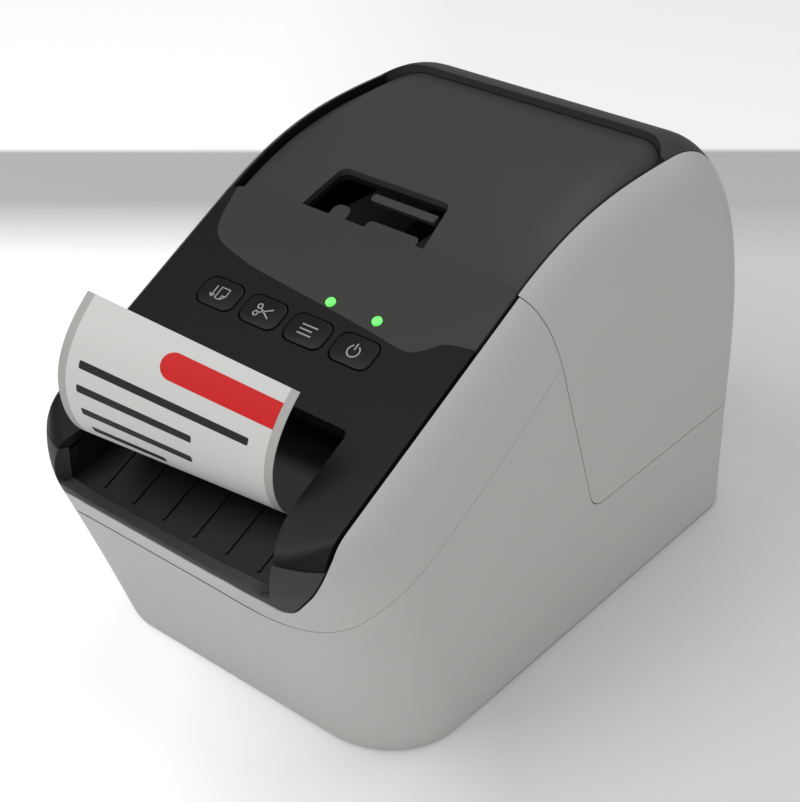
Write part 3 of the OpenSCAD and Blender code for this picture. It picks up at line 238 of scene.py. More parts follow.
def finish_piece(
    obj: bpy.types.Object, material: bpy.types.Material, body: str, nodes: Sequence[str] = ()
) -> bpy.types.Object:
    """Gives a piece its material and its place among the bodies.

    Args:
        obj: The piece.
        material: Its material.
        body: The body that it rides on.
        nodes: The CAD nodes that it stands for.

    Returns:
        The piece.
    """
    obj.data.materials.clear()
    obj.data.materials.append(material)
    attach(obj, body)
    if nodes:
        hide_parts(*nodes)
    LOG.info("%s: %d faces on %s", obj.name, len(obj.data.polygons), body)
    return obj


# Shader maths


@dataclass(frozen=True)
class Wire:
    """A value that runs through a material's nodes, with arithmetic that adds Math nodes."""

    board: "NodeSheet"
    socket: Any

    def _math(self, operation: str, a: Any, b: Any = None) -> "Wire":
        """Adds a Math node.

        Args:
            operation: The node's operation.
            a: First value.
            b: Second value, where the operation has one.

        Returns:
            The result.
        """
        values = {0: a} if b is None else {0: a, 1: b}
        return self.board.node("ShaderNodeMath", {"operation": operation}, values)

    def __add__(self, other: Any) -> "Wire":
        """Adds."""
        return self._math("ADD", self, other)

    __radd__ = __add__

    def __sub__(self, other: Any) -> "Wire":
        """Subtracts."""
        return self._math("SUBTRACT", self, other)

    def __rsub__(self, other: Any) -> "Wire":
        """Subtracts from a number."""
        return self._math("SUBTRACT", other, self)

    def __mul__(self, other: Any) -> "Wire":
        """Multiplies."""
        return self._math("MULTIPLY", self, other)

    __rmul__ = __mul__

    def __truediv__(self, other: Any) -> "Wire":
        """Divides."""
        return self._math("DIVIDE", self, other)

    def __abs__(self) -> "Wire":
        """Drops the sign."""
        return self._math("ABSOLUTE", self)

    def most(self, other: Any) -> "Wire":
        """Returns the larger of two values."""
        return self._math("MAXIMUM", self, other)

    def least(self, other: Any) -> "Wire":
        """Returns the smaller of two values."""
        return self._math("MINIMUM", self, other)

    def root(self) -> "Wire":
        """Returns the square root."""
        return self._math("SQRT", self)

    def clamped(self) -> "Wire":
        """Keeps the value between 0 and 1."""
        return self.most(0.0).least(1.0)

    def inside(self, soft: float) -> "Wire":
        """Turns a signed distance into a mask: 1 inside, 0 outside, with a soft edge."""
        return (0.5 - self / soft).clamped()


class NodeSheet:
    """A node tree and the one way in which nodes are added to it."""

    def __init__(self, tree: bpy.types.NodeTree) -> None:
        """Clears the tree.

        Args:
            tree: The tree of a material or of the world.
        """
        self.tree = tree
        self.tree.nodes.clear()

    def add(
        self, kind: str, settings: dict[str, Any] | None = None, values: dict[Any, Any] | None = None
    ) -> bpy.types.Node:
        """Adds a node.

        Args:
            kind: The node's type.
            settings: Attributes set before its sockets.
            values: Numbers, colours or wires for its inputs, by name or number.

        Returns:
            The node.
        """
        node = self.tree.nodes.new(kind)
        for key, value in (settings or {}).items():
            setattr(node, key, value)
        for key, value in (values or {}).items():
            self.feed(node.inputs[key], value)
        return node

    def node(self, kind: str, settings: Any = None, values: Any = None, out: Any = 0) -> Wire:
        """Adds a node and returns one of its outputs, by name or number."""
        return Wire(self, self.add(kind, settings, values).outputs[out])

    def feed(self, socket: Any, value: Any) -> None:
        """Sets a socket to a number or colour, or links a wire to it."""
        if isinstance(value, Wire):
            self.tree.links.new(value.socket, socket)
        else:
            socket.default_value = value


class Board(NodeSheet):
    """A material and the nodes on it."""

    def __init__(self, name: str) -> None:
        """Starts a material with its main shader.

        Args:
            name: The material's name.
        """
        self.material = bpy.data.materials.new(name)
        self.material.use_nodes = True
        super().__init__(self.material.node_tree)
        self.shader = self.add("ShaderNodeBsdfPrincipled")
        self.add("ShaderNodeOutputMaterial", None, {"Surface": Wire(self, self.shader.outputs[0])})

    def set(self, **values: Any) -> None:
        """Sets the main shader's sockets; an underscore in a name stands for a space."""
        for key, value in values.items():
            self.feed(self.shader.inputs[key.replace("_", " ")], value)

    def object_place(self) -> Wire:
        """Returns the object coordinates, in metres."""
        return self.node("ShaderNodeTexCoord", out="Object")

    def parts(self, vector: Wire) -> tuple[Wire, Wire]:
        """Returns the first two numbers of a vector."""
        x = self.node("ShaderNodeSeparateXYZ", None, {0: vector}, out="X")
        y = self.node("ShaderNodeSeparateXYZ", None, {0: vector}, out="Y")
        return x, y

    def noise(self, place: Wire, size_mm: float, detail: float = 2.0, roughness: float = 0.5) -> Wire:
        """Adds a noise whose grains have a given size."""
        values = {"Vector": place, "Scale": 1000.0 / size_mm, "Detail": detail, "Roughness": roughness}
        return self.node("ShaderNodeTexNoise", None, values)

    def fibres(self, size_mm: float = 0.4, detail: float = 3.0, roughness: float = 0.65) -> Wire:
        """Adds the fine mottle of a paper's fibres."""
        return self.noise(self.object_place(), size_mm, detail, roughness)

    def mix(self, mask: Any, first: Any, second: Any) -> Wire:
        """Mixes two colours by a mask."""
        return self.node("ShaderNodeMix", {"data_type": "RGBA"}, {0: mask, 6: first, 7: second}, out=2)

    def bump(self, height: Wire, depth_mm: float, strength: float = 1.0) -> Wire:
        """Turns a height between 0 and 1 into a normal."""
        values = {"Height": height, "Strength": strength, "Distance": depth_mm * MM}
        return self.node("ShaderNodeBump", None, values)


def darker(colour: Sequence[float], share: float) -> tuple[float, ...]:
    """Returns a colour at a share of its light."""
    return tuple(c * share for c in colour[:3]) + (1.0,)


def linear(code: str) -> tuple[float, float, float, float]:
    """Turns a written colour such as "C8C8C6" into the renderer's linear values."""
    out = []
    for i in (0, 2, 4):
        c = int(code[i : i + 2], 16) / 255
        out.append(c / 12.92 if c <= 0.04045 else ((c + 0.055) / 1.055) ** 2.4)
    return (out[0], out[1], out[2], 1.0)


@dataclass(frozen=True)
class MouldedPlastic:
    """Injection-moulded plastic with the tool's fine spark texture."""

    name: str
    colour: str
    roughness: float = 0.45
    grain_mm: float = 0.6
    grain_depth_mm: float = 0.02
    drift: float = 0.03
    specular: float = 0.5
    cloud_mm: float = 38.0
    patch_mm: float = 7.0

    def material(self) -> bpy.types.Material:
        """Builds the material."""
        board = Board(self.name)
        place = board.object_place()
        base = linear(self.colour)
        cloud = board.noise(place, self.cloud_mm, 3.0)
        grain = board.noise(place, self.grain_mm, 3.0, 0.62)
        patch = board.noise(place, self.patch_mm)
        board.set(
            Base_Color=board.mix((cloud * 1.6 - 0.3).clamped(), base, darker(base, 1 - self.drift)),
            Roughness=(patch - 0.5) * 0.08 + self.roughness + (grain - 0.5) * 0.10,
            Normal=board.bump(grain, self.grain_depth_mm),
            Specular_IOR_Level=self.specular,
        )
        return board.material


@dataclass(frozen=True)
class BareMetal:
    """Rolled or turned metal with a drawn grain along X."""

    name: str
    colour: str
    roughness: float = 0.3
    grain_mm: float = 0.25
    grain_depth_mm: float = 0.006
    drawn: tuple[float, float, float] = (0.04, 1.0, 1.0)

    def material(self) -> bpy.types.Material:
        """Builds the material."""
        board = Board(self.name)
        place = board.object_place()
        drawn = board.node("ShaderNodeMapping", None, {"Vector": place, "Scale": self.drawn})
        grain = board.noise(drawn, self.grain_mm, 2.0)
        cloud = board.noise(place, 12.0, 3.0)
        base = linear(self.colour)
        board.set(
            Base_Color=board.mix(cloud, base, darker(base, 0.86)),
            Metallic=1.0,
            Roughness=grain * 0.16 + (self.roughness - 0.08),
            Normal=board.bump(grain, self.grain_depth_mm),
        )
        return board.material


@dataclass(frozen=True)
class BoardLaminate:
    """Green circuit board with copper tracks under its lacquer."""

    name: str = "board_laminate"

    def material(self) -> bpy.types.Material:
        """Builds the material."""
        board = Board(self.name)
        kind = {"distance": "CHEBYCHEV", "feature": "F1"}
        values = {"Vector": board.object_place(), "Scale": 260.0}
        cells = board.node("ShaderNodeTexVoronoi", kind, values)
        tracks = ((cells - 0.32) / 0.05).clamped()
        board.set(
            Base_Color=board.mix(tracks, linear("1B6A34"), linear("124A24")),
            Roughness=0.35 + tracks * 0.1,
            Normal=board.bump(tracks, 0.02),
        )
        return board.material


@dataclass(frozen=True)
class Lamp:
    """A lit light guide."""

    name: str
    colour: str
    strength: float

    def material(self) -> bpy.types.Material:
        """Builds the material."""
        board = Board(self.name)
        haze = board.noise(board.object_place(), 1.2, 1.0)
        glow = linear(self.colour)
        soft = darker(glow, 0.82)
        board.set(
            Base_Color=board.mix(haze, glow, soft),
            Emission_Color=board.mix(haze, glow, soft),
            Emission_Strength=self.strength,
            Roughness=0.25 + haze * 0.1,
        )
        return board.material


@dataclass(frozen=True)
class Paper:
    """Uncoated paper or card with short fibres."""

    name: str
    colour: str
    roughness: float = 0.75

    def material(self) -> bpy.types.Material:
        """Builds the material."""
        board = Board(self.name)
        fibre = board.fibres(0.35, 4.0, 0.7)
        base = linear(self.colour)
        board.set(
            Base_Color=board.mix(fibre, darker(base, 0.93), base),
            Roughness=fibre * 0.1 + self.roughness - 0.05,
            Normal=board.bump(fibre, 0.01),
        )
        return board.material


@dataclass(frozen=True)
class PrintedSheet:
    """The label: white face stock on grey backing, with plain bars in red and black.

    Its UV map is in millimetres: u across from the middle, v from the free end.
    """

    name: str = "label_print"
    half_width: float = 31.0
    margin: float = 2.3
    band: tuple[float, float, float, float] = (-4.7, 28.7, 4.4, 12.0)
    bars: tuple[tuple[float, float, float, float], ...] = (
        (-25.3, 23.5, 16.8, 19.0),
        (-25.5, 8.0, 23.4, 25.6),
        (-25.0, 7.5, 30.2, 32.4),
        (-24.0, -2.0, 36.4, 38.6),
    )
    soft: float = 0.12

    def _box(self, u: Wire, v: Wire, box: Sequence[float], radius: float) -> Wire:
        """Returns the mask of a box with rounded corners.

        Args:
            u: Place across.
            v: Place along.
            box: Its left, right, near and far edges.
            radius: Radius of its corners.

        Returns:
            The mask.
        """
        du = abs(u - (box[0] + box[1]) / 2) - ((box[1] - box[0]) / 2 - radius)
        dv = abs(v - (box[2] + box[3]) / 2) - ((box[3] - box[2]) / 2 - radius)
        out_u, out_v = du.most(0.0), dv.most(0.0)
        far = (out_u * out_u + out_v * out_v).root() + du.most(dv).least(0.0)
        return (far - radius).inside(self.soft)

    def material(self) -> bpy.types.Material:
        """Builds the material."""
        board = Board(self.name)
        uv = board.node("ShaderNodeUVMap", {"uv_map": "sheet"})
        u, v = board.parts(uv)
        fibre = board.fibres()
        white = board.mix(fibre, linear("DEDEDB"), linear("E3E3E1"))
        backing = board.mix(fibre, linear("B4B4B1"), linear("BDBDBA"))
        on_face = (abs(u) - (self.half_width - self.margin)).inside(self.soft)
        colour = board.mix(on_face, backing, white)
        height = (self.band[3] - self.band[2]) / 2
        left = self._box(u, v, self.band, height - 0.01)
        square = self._box(u, v, (self.band[0] + height, *self.band[1:]), 0.01)
        colour = board.mix(left.most(square), colour, linear("DC0004"))
        ink = None
        for bar in self.bars:
            mask = self._box(u, v, bar, 0.5)
            ink = mask if ink is None else ink.most(mask)
        colour = board.mix(ink, colour, linear("1A1A1A"))
        board.set(
            Base_Color=colour,
            Roughness=0.5 + fibre * 0.12,
            Normal=board.bump(on_face * 0.9 + fibre * 0.1, 0.06),
        )
        return board.material


@dataclass(frozen=True)
class SheetBack:
    """The label's grey back, with painted shade: it turns black towards where it comes out of the dark slot.
    """

    name: str = "label_back"
    shaded_from: float = 60.0
    shaded_over: float = 6.0

    def material(self) -> bpy.types.Material:
        """Builds the material."""
        board = Board(self.name)
        _, v = board.parts(board.node("ShaderNodeUVMap", {"uv_map": "sheet"}))
        fibre = board.fibres()
        grey = board.mix(fibre, linear("454544"), linear("4D4D4C"))
        # Painted shade: past shaded_from along the sheet, the back is mixed towards black where it runs into
        # the dark slot.
        depth = ((v - self.shaded_from) / self.shaded_over).clamped()
        board.set(
            Base_Color=board.mix(depth, grey, linear("0C0C0C")),
            Roughness=0.6 + fibre * 0.1,
            Specular_IOR_Level=0.25,
        )
        return board.material


def plastic(*sizes: Any) -> bpy.types.Material:
    """Builds a moulded plastic from its name, colour, roughness, grain, grain's depth, drift and gloss."""
    return MouldedPlastic(*sizes).material()


class Finishes:
    """All the finishes of this printer, built once."""

    def __init__(self) -> None:
        """Builds the materials."""
        self.case = plastic("case_light", "CFCFCD", 0.42, 0.55, 0.012, 0.015)
        self.face = plastic("face_black", "100F0E", 0.38, 0.5, 0.005, 0.05, 0.24)
        self.accent = plastic("accent_grey", "383735", 0.42, 0.45, 0.006, 0.03, 0.36)
        self.lip = plastic("lip_grey", "3F3E3C", 0.48, 0.5, 0.010, 0.03, 0.4)
        self.lid = plastic("lid_grey", "393938", 0.45, 0.55, 0.010, 0.03, 0.42)
        self.guide = plastic("guide_dark", "0E0D0C", 0.42, 0.5, 0.006, 0.04, 0.3)
        self.liner = plastic("liner_black", "0E0E0E", 0.55, 0.6, 0.010, 0.05, 0.25)
        self.base = plastic("base_dark", "3A3A3A", 0.6, 0.7, 0.02, 0.04)
        self.gear = plastic("gear_white", "DCDCD4", 0.35, 0.9, 0.006, 0.02)
        self.rubber = plastic("foot_rubber", "1C1C1C", 0.8, 0.4, 0.03, 0.06)
        self.roller = plastic("roller_rubber", "262626", 0.75, 0.3, 0.02, 0.05)
        self.key = plastic("key_black", "12110F", 0.36, 0.5, 0.004, 0.04, 0.26)
        self.mark = plastic("key_mark", "A9A9A7", 0.5, 0.4, 0.004, 0.02)
        self.housing = plastic("motor_black", "2B2B2D", 0.4, 0.5, 0.01, 0.05)
        self.steel = BareMetal("chassis_steel", "B9BABB", 0.34).material()
        self.bright = BareMetal("bright_steel", "CFCFD0", 0.22).material()
        self.brass = BareMetal("pinion_brass", "C8A255", 0.3).material()
        self.board = BoardLaminate().material()
        self.paper = Paper("roll_paper", "DEDEDA").material()
        self.card = Paper("core_card", "A88C66").material()
        self.print = PrintedSheet().material()
        self.back = SheetBack().material()
        self.glow = Lamp("indicator_glow", "6BFF6B", 0.9).material()
        self.socket = plastic("indicator_socket", "0F2A12", 0.4, 0.4, 0.006, 0.05)


# Casing


@dataclass
class CasingForm:
    """The casing's outer form, as the part's source gives it."""

    width: float = 125.3
    depth: float = 213.0
    height: float = 142.0
    wall: float = 2.4
    foot: float = 1.0
    slope: float = math.radians(28)
    nose_r: float = 12.0
    nose_z: float = 69.6
    setback: float = 29.3
    edge_x: float = 53.3
    seam: float = 0.5
    foot_corner: Point = (25.4, 25.4)
    nose_corner: Point = (40.0, 38.0)
    rear_corner: Point = (22.0, 22.0)
    rear_foot_corner: Point = (17.0, 17.0)
    shoulder: Point = (16.0, 30.0)
    crest_shoulder: Point = (20.0, 24.0)
    face_end_y: float = -20.0
    crest_y: float = 56.0
    rear_z: float = 43.0
    rear_setback: float = 2.0
    far: float = 213.0
    lid_reach_share: float = 0.368
    rear_rise_share: float = 0.697
    rear_run_share: float = 0.594
    chords: dict[str, int] = field(
        default_factory=lambda: {"front": 6, "nose": 14, "face": 10, "lid": 22, "rear": 26, "foot": 3}
    )
    slices_flat: int = 3
    slices_side: int = 14

    def __post_init__(self) -> None:
        """Works out the points that follow from the sizes."""
        self.half = self.width / 2
        self.front_y, self.rear_y = -self.depth / 2, self.depth / 2
        self.nose = Vector((self.front_y + self.nose_r, self.nose_z))
        self.foot_p = Vector((self.front_y + self.setback, self.foot))
        self.face_dir = Vector((math.cos(self.slope), math.sin(self.slope)))
        self.face_in = Vector((math.sin(self.slope), -math.cos(self.slope)))
        self.face_start = self.nose - self.nose_r * self.face_in
        away = self.foot_p - self.nose
        lean = math.asin(self.nose_r / away.length) + math.atan2(away.x, -away.y)
        self.wall_top = self.nose - self.nose_r * Vector((math.cos(lean), math.sin(lean)))

    def face_z(self, y: float) -> float:
        """Returns the height of the front face at a place."""
        return self.face_start.y + (y - self.face_start.x) * math.tan(self.slope)

    def on_face(self, x: float, y: float, out: float = 0.0) -> Matrix:
        """Returns the frame on the face at a place, in metres: X across, Y up the slope, Z out."""
        base = Matrix.Translation(Vector((x, y, self.face_z(y))) * MM)
        turn = Matrix.Rotation(self.slope, 4, "X")
        return base @ turn @ Matrix.Translation((0, 0, out * MM))

    def _ellipse(self, x: float, axes: Point) -> float:
        """Returns how far an elliptical corner has fallen at x."""
        t = min(1.0, max(0.0, (x - self.half) / axes[0] + 1))
        return axes[1] * (1 - math.sqrt(max(0.0, 1 - t * t)))

    def fall(self, x: float, axes: Point, flat: float | None = None) -> float:
        """Returns the fall of a corner or shoulder at x, past its flat half width."""
        flat = self.half - axes[0] if flat is None else flat
        return 0.0 if abs(x) <= flat else self._ellipse(abs(x), axes) - self._ellipse(flat, axes)

    def outline(self, x: float) -> list[Vector]:
        """Returns the casing's outline in (y, z) at a distance from the middle."""
        foot = self.foot_p + Vector((self.fall(x, self.foot_corner), 0))
        top = self.wall_top + Vector((self.fall(x, self.nose_corner), 0))
        along = (top - foot).normalized()
        inward = Vector((along.y, -along.x))
        drop = self.fall(x, self.shoulder, self.edge_x)
        on_face = self.face_start + self.face_in * (drop + self.nose_r)
        shift = (self.nose_r - (on_face - foot).dot(inward)) / self.face_dir.dot(inward)
        c = on_face + self.face_dir * shift
        a0 = math.pi + math.atan2(inward.y, inward.x)
        a1 = math.pi / 2 + self.slope
        end = Vector((self.face_end_y, self.face_z(self.face_end_y))) + self.face_in * drop
        crest = Vector((self.crest_y, self.height - self.fall(x, self.crest_shoulder)))
        rear = Vector((self.rear_y - self.fall(x, self.rear_corner), self.rear_z))
        rear_foot = Vector(
            (self.rear_y - self.rear_setback - self.fall(x, self.rear_foot_corner), self.foot)
        )
        reach = (crest.x - end.x) * self.lid_reach_share
        rise = (crest.y - rear.y) * self.rear_rise_share
        run = (rear.x - crest.x) * self.rear_run_share
        n = self.chords
        points = [foot.lerp(top, i / n["front"]) for i in range(n["front"])]
        for i in range(n["nose"] + 1):
            a = a0 + (a1 - a0) * i / n["nose"]
            points.append(c + self.nose_r * Vector((math.cos(a), math.sin(a))))
        face_start = points[-1]
        points += [face_start.lerp(end, i / n["face"]) for i in range(1, n["face"])]
        lift = end + Vector((1, math.tan(self.slope))) * reach
        lid = curve(tuple(end), tuple(lift), (crest.x - reach, crest.y), tuple(crest), n["lid"])
        down = curve(tuple(crest), (crest.x + run, crest.y), (rear.x, rear.y + rise), tuple(rear), n["rear"])
        points += [Vector(p) for p in lid + down[1:]]
        points += [rear.lerp(rear_foot, (i + 1) / n["foot"]) for i in range(n["foot"])]
        return points

    def slices(self) -> list[float]:
        """Returns the places of the slices, from left to right."""
        flat = self.half - self.nose_corner[0]
        flats, sides = self.slices_flat, self.slices_side
        half = [flat * i / flats for i in range(flats)]
        half += [flat + (self.edge_x - flat) * i / sides for i in range(sides)]
        turns = (math.sin(math.pi / 2 * i / sides) for i in range(sides + 1))
        half += [self.edge_x + (self.half - self.edge_x) * turn for turn in turns]
        return [-x for x in reversed(half[1:])] + half

    def _inset(self, outline: list[Vector], inset: float) -> list[Vector]:
        """Draws an outline in by an inset."""
        n = len(outline)
        out = []
        for i, p in enumerate(outline):
            a, b = p - outline[i - 1], outline[(i + 1) % n] - p
            na = Vector((a.y, -a.x)).normalized()
            nb = Vector((b.y, -b.x)).normalized()
            out.append(p + inset * (na + nb) / (1 + na.dot(nb)))
        return out

    def solid(self, name: str, inset: float) -> bpy.types.Object:
        """Makes the closed form, drawn in by an inset.

        Args:
            name: The object's name.
            inset: How far the form is drawn in; a negative one swells it.

        Returns:
            The solid's object.
        """
        places = self.slices()
        rings = [self._inset(self.outline(x), inset) for x in places]
        nx, ny = len(places) - 1, len(rings[0])
        scale = (self.half - inset) / self.half
        bm = bmesh.new()
        bmesh.ops.create_grid(bm, x_segments=nx, y_segments=ny, size=1)
        for v in bm.verts:
            i = round((v.co.x + 1) / 2 * nx)
            j = round((v.co.y + 1) / 2 * ny) % ny
            p = rings[i][j]
            v.co = Vector((places[i] * scale, p.x, p.y)) * MM
        bmesh.ops.remove_doubles(bm, verts=bm.verts, dist=1e-7)
        bmesh.ops.holes_fill(bm, edges=[e for e in bm.edges if e.is_boundary], sides=0)
        bmesh.ops.recalc_face_normals(bm, faces=bm.faces)
        return new_object(name, bm)


@dataclass
class Casing:
    """The casing's visible shells, each cut from the fine form as its node is."""

    form: CasingForm
    finishes: Finishes
    keys: Keys
    joint: Point = (-8.4, 101.3)
    seam_v: Point = (12.8, 41.8)
    seam_top: Point = (-17.8, 124.0)
    seam_handles: tuple[Point, Point] = ((-11.4, 110), (-13.5, 119.5))
    seam_v_r: float = 8.0
    seam_steps: int = 12
    corner_steps: int = 14
    front_steps: int = 24
    nose_steps: int = 30
    front_seam_knots: tuple[Point, ...] = (
        (-105.7, 65.0), (-102.5, 60.6), (-98, 55.1), (-92, 55.1), (-86, 55.2), (-82.5, 60.6),
        (-74.5, 64.0), (-56.5, 71.6), (-36, 82), (-8.4, 101.3),
    )
    band_shares: tuple[Point, ...] = (
        (0.41, 0.055), (0.545, 0.03), (0.664, -0.115), (0.724, -0.25), (0.76, -0.39), (0.788, -0.5),
        (0.818, -0.535), (0.852, -0.47), (0.9, -0.19), (0.94, 0.075), (0.97, 0.37), (0.99, 0.65), (1.0, 0.95),
    )
    rim_shares: tuple[Point, ...] = (
        (0.43, 0.15), (0.545, 0.15), (0.649, 0.07), (0.715, -0.045), (0.762, -0.11), (1.0, -0.11),
    )
    strip_t: float = 1.2
    strip_h: float = 0.8
    lip_z: float = 78.0
    case_seam: float = 0.2
    lid_front_y: float = -14.6
    lid_front_bow: float = 3.1
    lid_front_straight: float = 40.0
    outlet_half: float = 36.0
    outlet_top_y: float = -66.2
    outlet_r: float = 2.0
    mouth_flare: tuple[Point, ...] = ((0, 20), (0.6, 14.8), (2.1, 10.1), (4.1, 6.7), (4.9, 4.2), (5, 2.5))
    mouth_past: float = 2.0
    tray_inset: float = 4.6
    tray_room: float = 0.1
    plate_recess: float = 2.5
    plate_t: float = 1.8
    plate_half: float = 52.2
    plate_back_y: float = 60.8
    plate_r: float = 13.0
    plate_low: float = 68.0
    cover_front_y: float = 61.0
    cover_tuck: float = 8.0
    cover_gap: float = 0.3
    window_x: float = -5.9
    window_w: float = 44.0
    window_l: float = 18.0
    window_slant: float = 1.9
    window_r: float = 3.0
    window_past: float = 4.0
    tray_t: float = 1.8
    accent_t: float = 0.8
    accent_low: float = 60.0
    accent_back_y: float = 2.0
    accent_gap: float = 0.05
    face_length: float = 86.5
    accent_shares: tuple[Point, ...] = (
        (-0.949, 0.028), (-0.912, 0.12), (-0.863, 0.184), (-0.775, 0.22), (-0.6, 0.245), (-0.424, 0.261),
        (0.101, 0.287), (0.413, 0.304), (0.582, 0.316), (0.675, 0.316), (0.743, 0.294), (0.799, 0.264),
        (0.863, 0.247), (1.0, 0.235),
    )
    tongues: tuple[tuple[float, float, float, float], ...] = ((-13.1, 6.2, 3.7, 2.4), (6.6, 18.6, 2.2, 1.6))
    tongue_l: float = 6.2
    hinge: Point = (99.964, 52.0)
    tail_room: float = 0.5
    tail_steps: int = 96
    foot_trim: float = 0.02
    floor_t: float = 2.41
    floor_corner: float = 22.3
    inlet_hole: tuple[float, float, float, float] = (-38.0, 22.0, 27.0, 19.5)
    data_hole: tuple[float, float, float, float] = (49.0, 20.0, 12.0, 10.9)
    vent_count: int = 6
    vent_first_z: float = 13.0
    vent_pitch: float = 4.5
    vent_w: float = 22.0
    vent_h: float = 2.0
    opening_reach: float = 10.0
    key_room: float = 0.3
    pipe_hole_r: float = 1.8
    hole_reach: float = 8.0

    def __post_init__(self) -> None:
        """Works out the seams as points."""
        far = self.form.far
        knots = self.front_seam_knots
        self.front_seam = [knots[0]]
        for k in (0, 3, 6):
            self.front_seam += curve(*knots[k : k + 4], self.seam_steps)[1:]
        self.front_seam_z = knots[0][1]
        self.upper_seam = curve(self.joint, *self.seam_handles, self.seam_top, self.seam_steps)
        level = (far, self.seam_v[1])
        corner = fillet(self.joint, self.seam_v, level, self.seam_v_r, self.corner_steps)
        self.lower_seam = [self.joint, *corner, level]

    # Regions

    def _grown(self, outline: Sequence[Point], grow: float) -> list[Point]:
        """Moves an outline's edges outwards, or inwards for a negative distance."""
        apart = (math.dist(p, outline[i - 1]) > TINY for i, p in enumerate(outline))
        pts = [Vector(p) for p, kept in zip(outline, apart) if kept]
        area = sum(a.x * b.y - b.x * a.y for a, b in zip(pts, pts[1:] + pts[:1]))
        side = 1 if area > 0 else -1
        out = []
        for i, p in enumerate(pts):
            a, b = p - pts[i - 1], pts[(i + 1) % len(pts)] - p
            na = Vector((a.y, -a.x)).normalized() * side
            nb = Vector((b.y, -b.x)).normalized() * side
            out.append(tuple(p + grow * (na + nb) / max(0.3, 1 + na.dot(nb))))
        return out

    def _side_prism(self, outline: Sequence[Point], gap: float) -> bpy.types.Object:
        """Makes a region of the side view, drawn in by half of a seam's gap."""
        far = self.form.far
        return prism("region", Facing.SIDE, self._grown(outline, -gap / 2), -far, far)

    def case_region(self) -> bpy.types.Object:
        """Makes the lower case's region."""
        far = self.form.far
        return self._side_prism([(-far, -far), (-far, self.front_seam_z), *self.front_seam,
                                 *self.lower_seam[1:], (far, -far)], self.case_seam)

    def front_region(self) -> bpy.types.Object:
        """Makes the front frame's region."""
        far = self.form.far
        return self._side_prism([(-far, self.front_seam_z), *self.front_seam, *self.upper_seam[1:],
                                 (self.seam_top[0], far), (-far, far)], self.case_seam)

    def lid_region(self) -> bpy.types.Object:
        """Makes the lid's region."""
        far = self.form.far
        return self._side_prism([*reversed(self.upper_seam), *self.lower_seam[1:], (far, far),
                                 (self.seam_top[0], far)], self.form.seam)

    def _front_points(self, shares: Sequence[Point]) -> list[Point]:
        """Returns a smooth line of the front view, left to right, from shares of the band and the nose."""
        form = self.form
        knots = [(x * form.edge_x, form.nose_z + z * form.nose_r) for x, z in shares]
        line = smooth_line(knots, 5)
        return [(-x, z) for x, z in reversed(line)] + line

    def band(self, grow: float) -> bpy.types.Object:
        """Makes the dark band's region of the front view, with its hanging tips."""
        far, edge = self.form.far, self.form.edge_x
        outline = [*self._front_points(self.band_shares), (edge, far), (-edge, far)]
        return prism("band", Facing.FRONT, self._grown(outline, grow), -far, far)

    def mouth_front(self, up: float) -> bpy.types.Object:
        """Makes what lies over the strip under the mouth, seen from the front."""
        far, edge = self.form.far, self.form.edge_x
        outline = [*((x, z + up) for x, z in self._front_points(self.rim_shares)), (edge, far), (-edge, far)]
        return prism("mouth_front", Facing.FRONT, outline, -far, far)

    def _front_line(self) -> list[Point]:
        """Returns the seam between face and lid seen from above, left to right."""
        edge = self.form.edge_x
        line = []
        for i in range(-self.front_steps, self.front_steps + 1):
            x = edge * i / self.front_steps
            over = max(0.0, abs(x) - self.lid_front_straight) / (edge - self.lid_front_straight)
            line.append((x, self.lid_front_y - self.lid_front_bow * over**2))
        return line

    def face_plan(self, grow: float = 0.0) -> bpy.types.Object:
        """Makes the face's region seen from above."""
        far, edge = self.form.far, self.form.edge_x
        outline = [*self._front_line(), (edge, -far), (-edge, -far)]
        return prism("face_plan", Facing.TOP, self._grown(outline, grow - self.form.seam / 2), 0, far)

    def lid_plan(self) -> bpy.types.Object:
        """Makes the lid's region within the band seen from above."""
        far, edge = self.form.far, self.form.edge_x
        outline = [*self._front_line(), (edge, far), (-edge, far)]
        return prism("lid_plan", Facing.TOP, self._grown(outline, -self.form.seam / 2), 0, far)

    def _nose_line(self, back: float) -> list[Point]:
        """Returns a line along the nose's corners seen from above, left to right.

        Args:
            back: Its distance behind the start of the straight face.

        Returns:
            The line's points.
        """
        form, edge = self.form, self.form.edge_x
        n = self.nose_steps
        places = (edge * i / n for i in range(-n, n + 1))
        return [(x, form.face_start.x + form.fall(x, form.nose_corner) + back) for x in places]

    def lip_plan(self, grow: float) -> bpy.types.Object:
        """Makes the lip's region seen from above, whose rear edge follows the nose's corners."""
        far, edge = self.form.far, self.form.edge_x
        outline = [*self._nose_line(0), (edge, -far), (-edge, -far)]
        return prism("lip_plan", Facing.TOP, self._grown(outline, grow), 0, far)

    def behind_nose(self, inset: float) -> bpy.types.Object:
        """Makes what is further back than a line that follows the nose at an inset."""
        far, edge = self.form.far, self.form.edge_x
        line = self._nose_line(self.form.front_y + inset - self.form.face_start.x)
        return prism("behind_nose", Facing.TOP, [*line, (edge, far), (-edge, far)], 0, far)

    def outlet(self, grow: float) -> bpy.types.Object:
        """Makes the outlet recess, with its flared mouth."""
        w, top, r = self.outlet_half, self.outlet_top_y, self.outlet_r
        knots = [(w + x, self.form.front_y + y) for x, y in self.mouth_flare]
        flare = smooth_line(knots, 5)
        tip = (flare[-1][0], self.form.front_y - self.mouth_past)
        right = [tip, *reversed(flare), *fillet(flare[0], (w, top), (0, top), r, 8)]
        outline = right + [(-x, y) for x, y in reversed(right)]
        return prism("outlet", Facing.TOP, self._grown(outline, grow), 0, self.form.far)

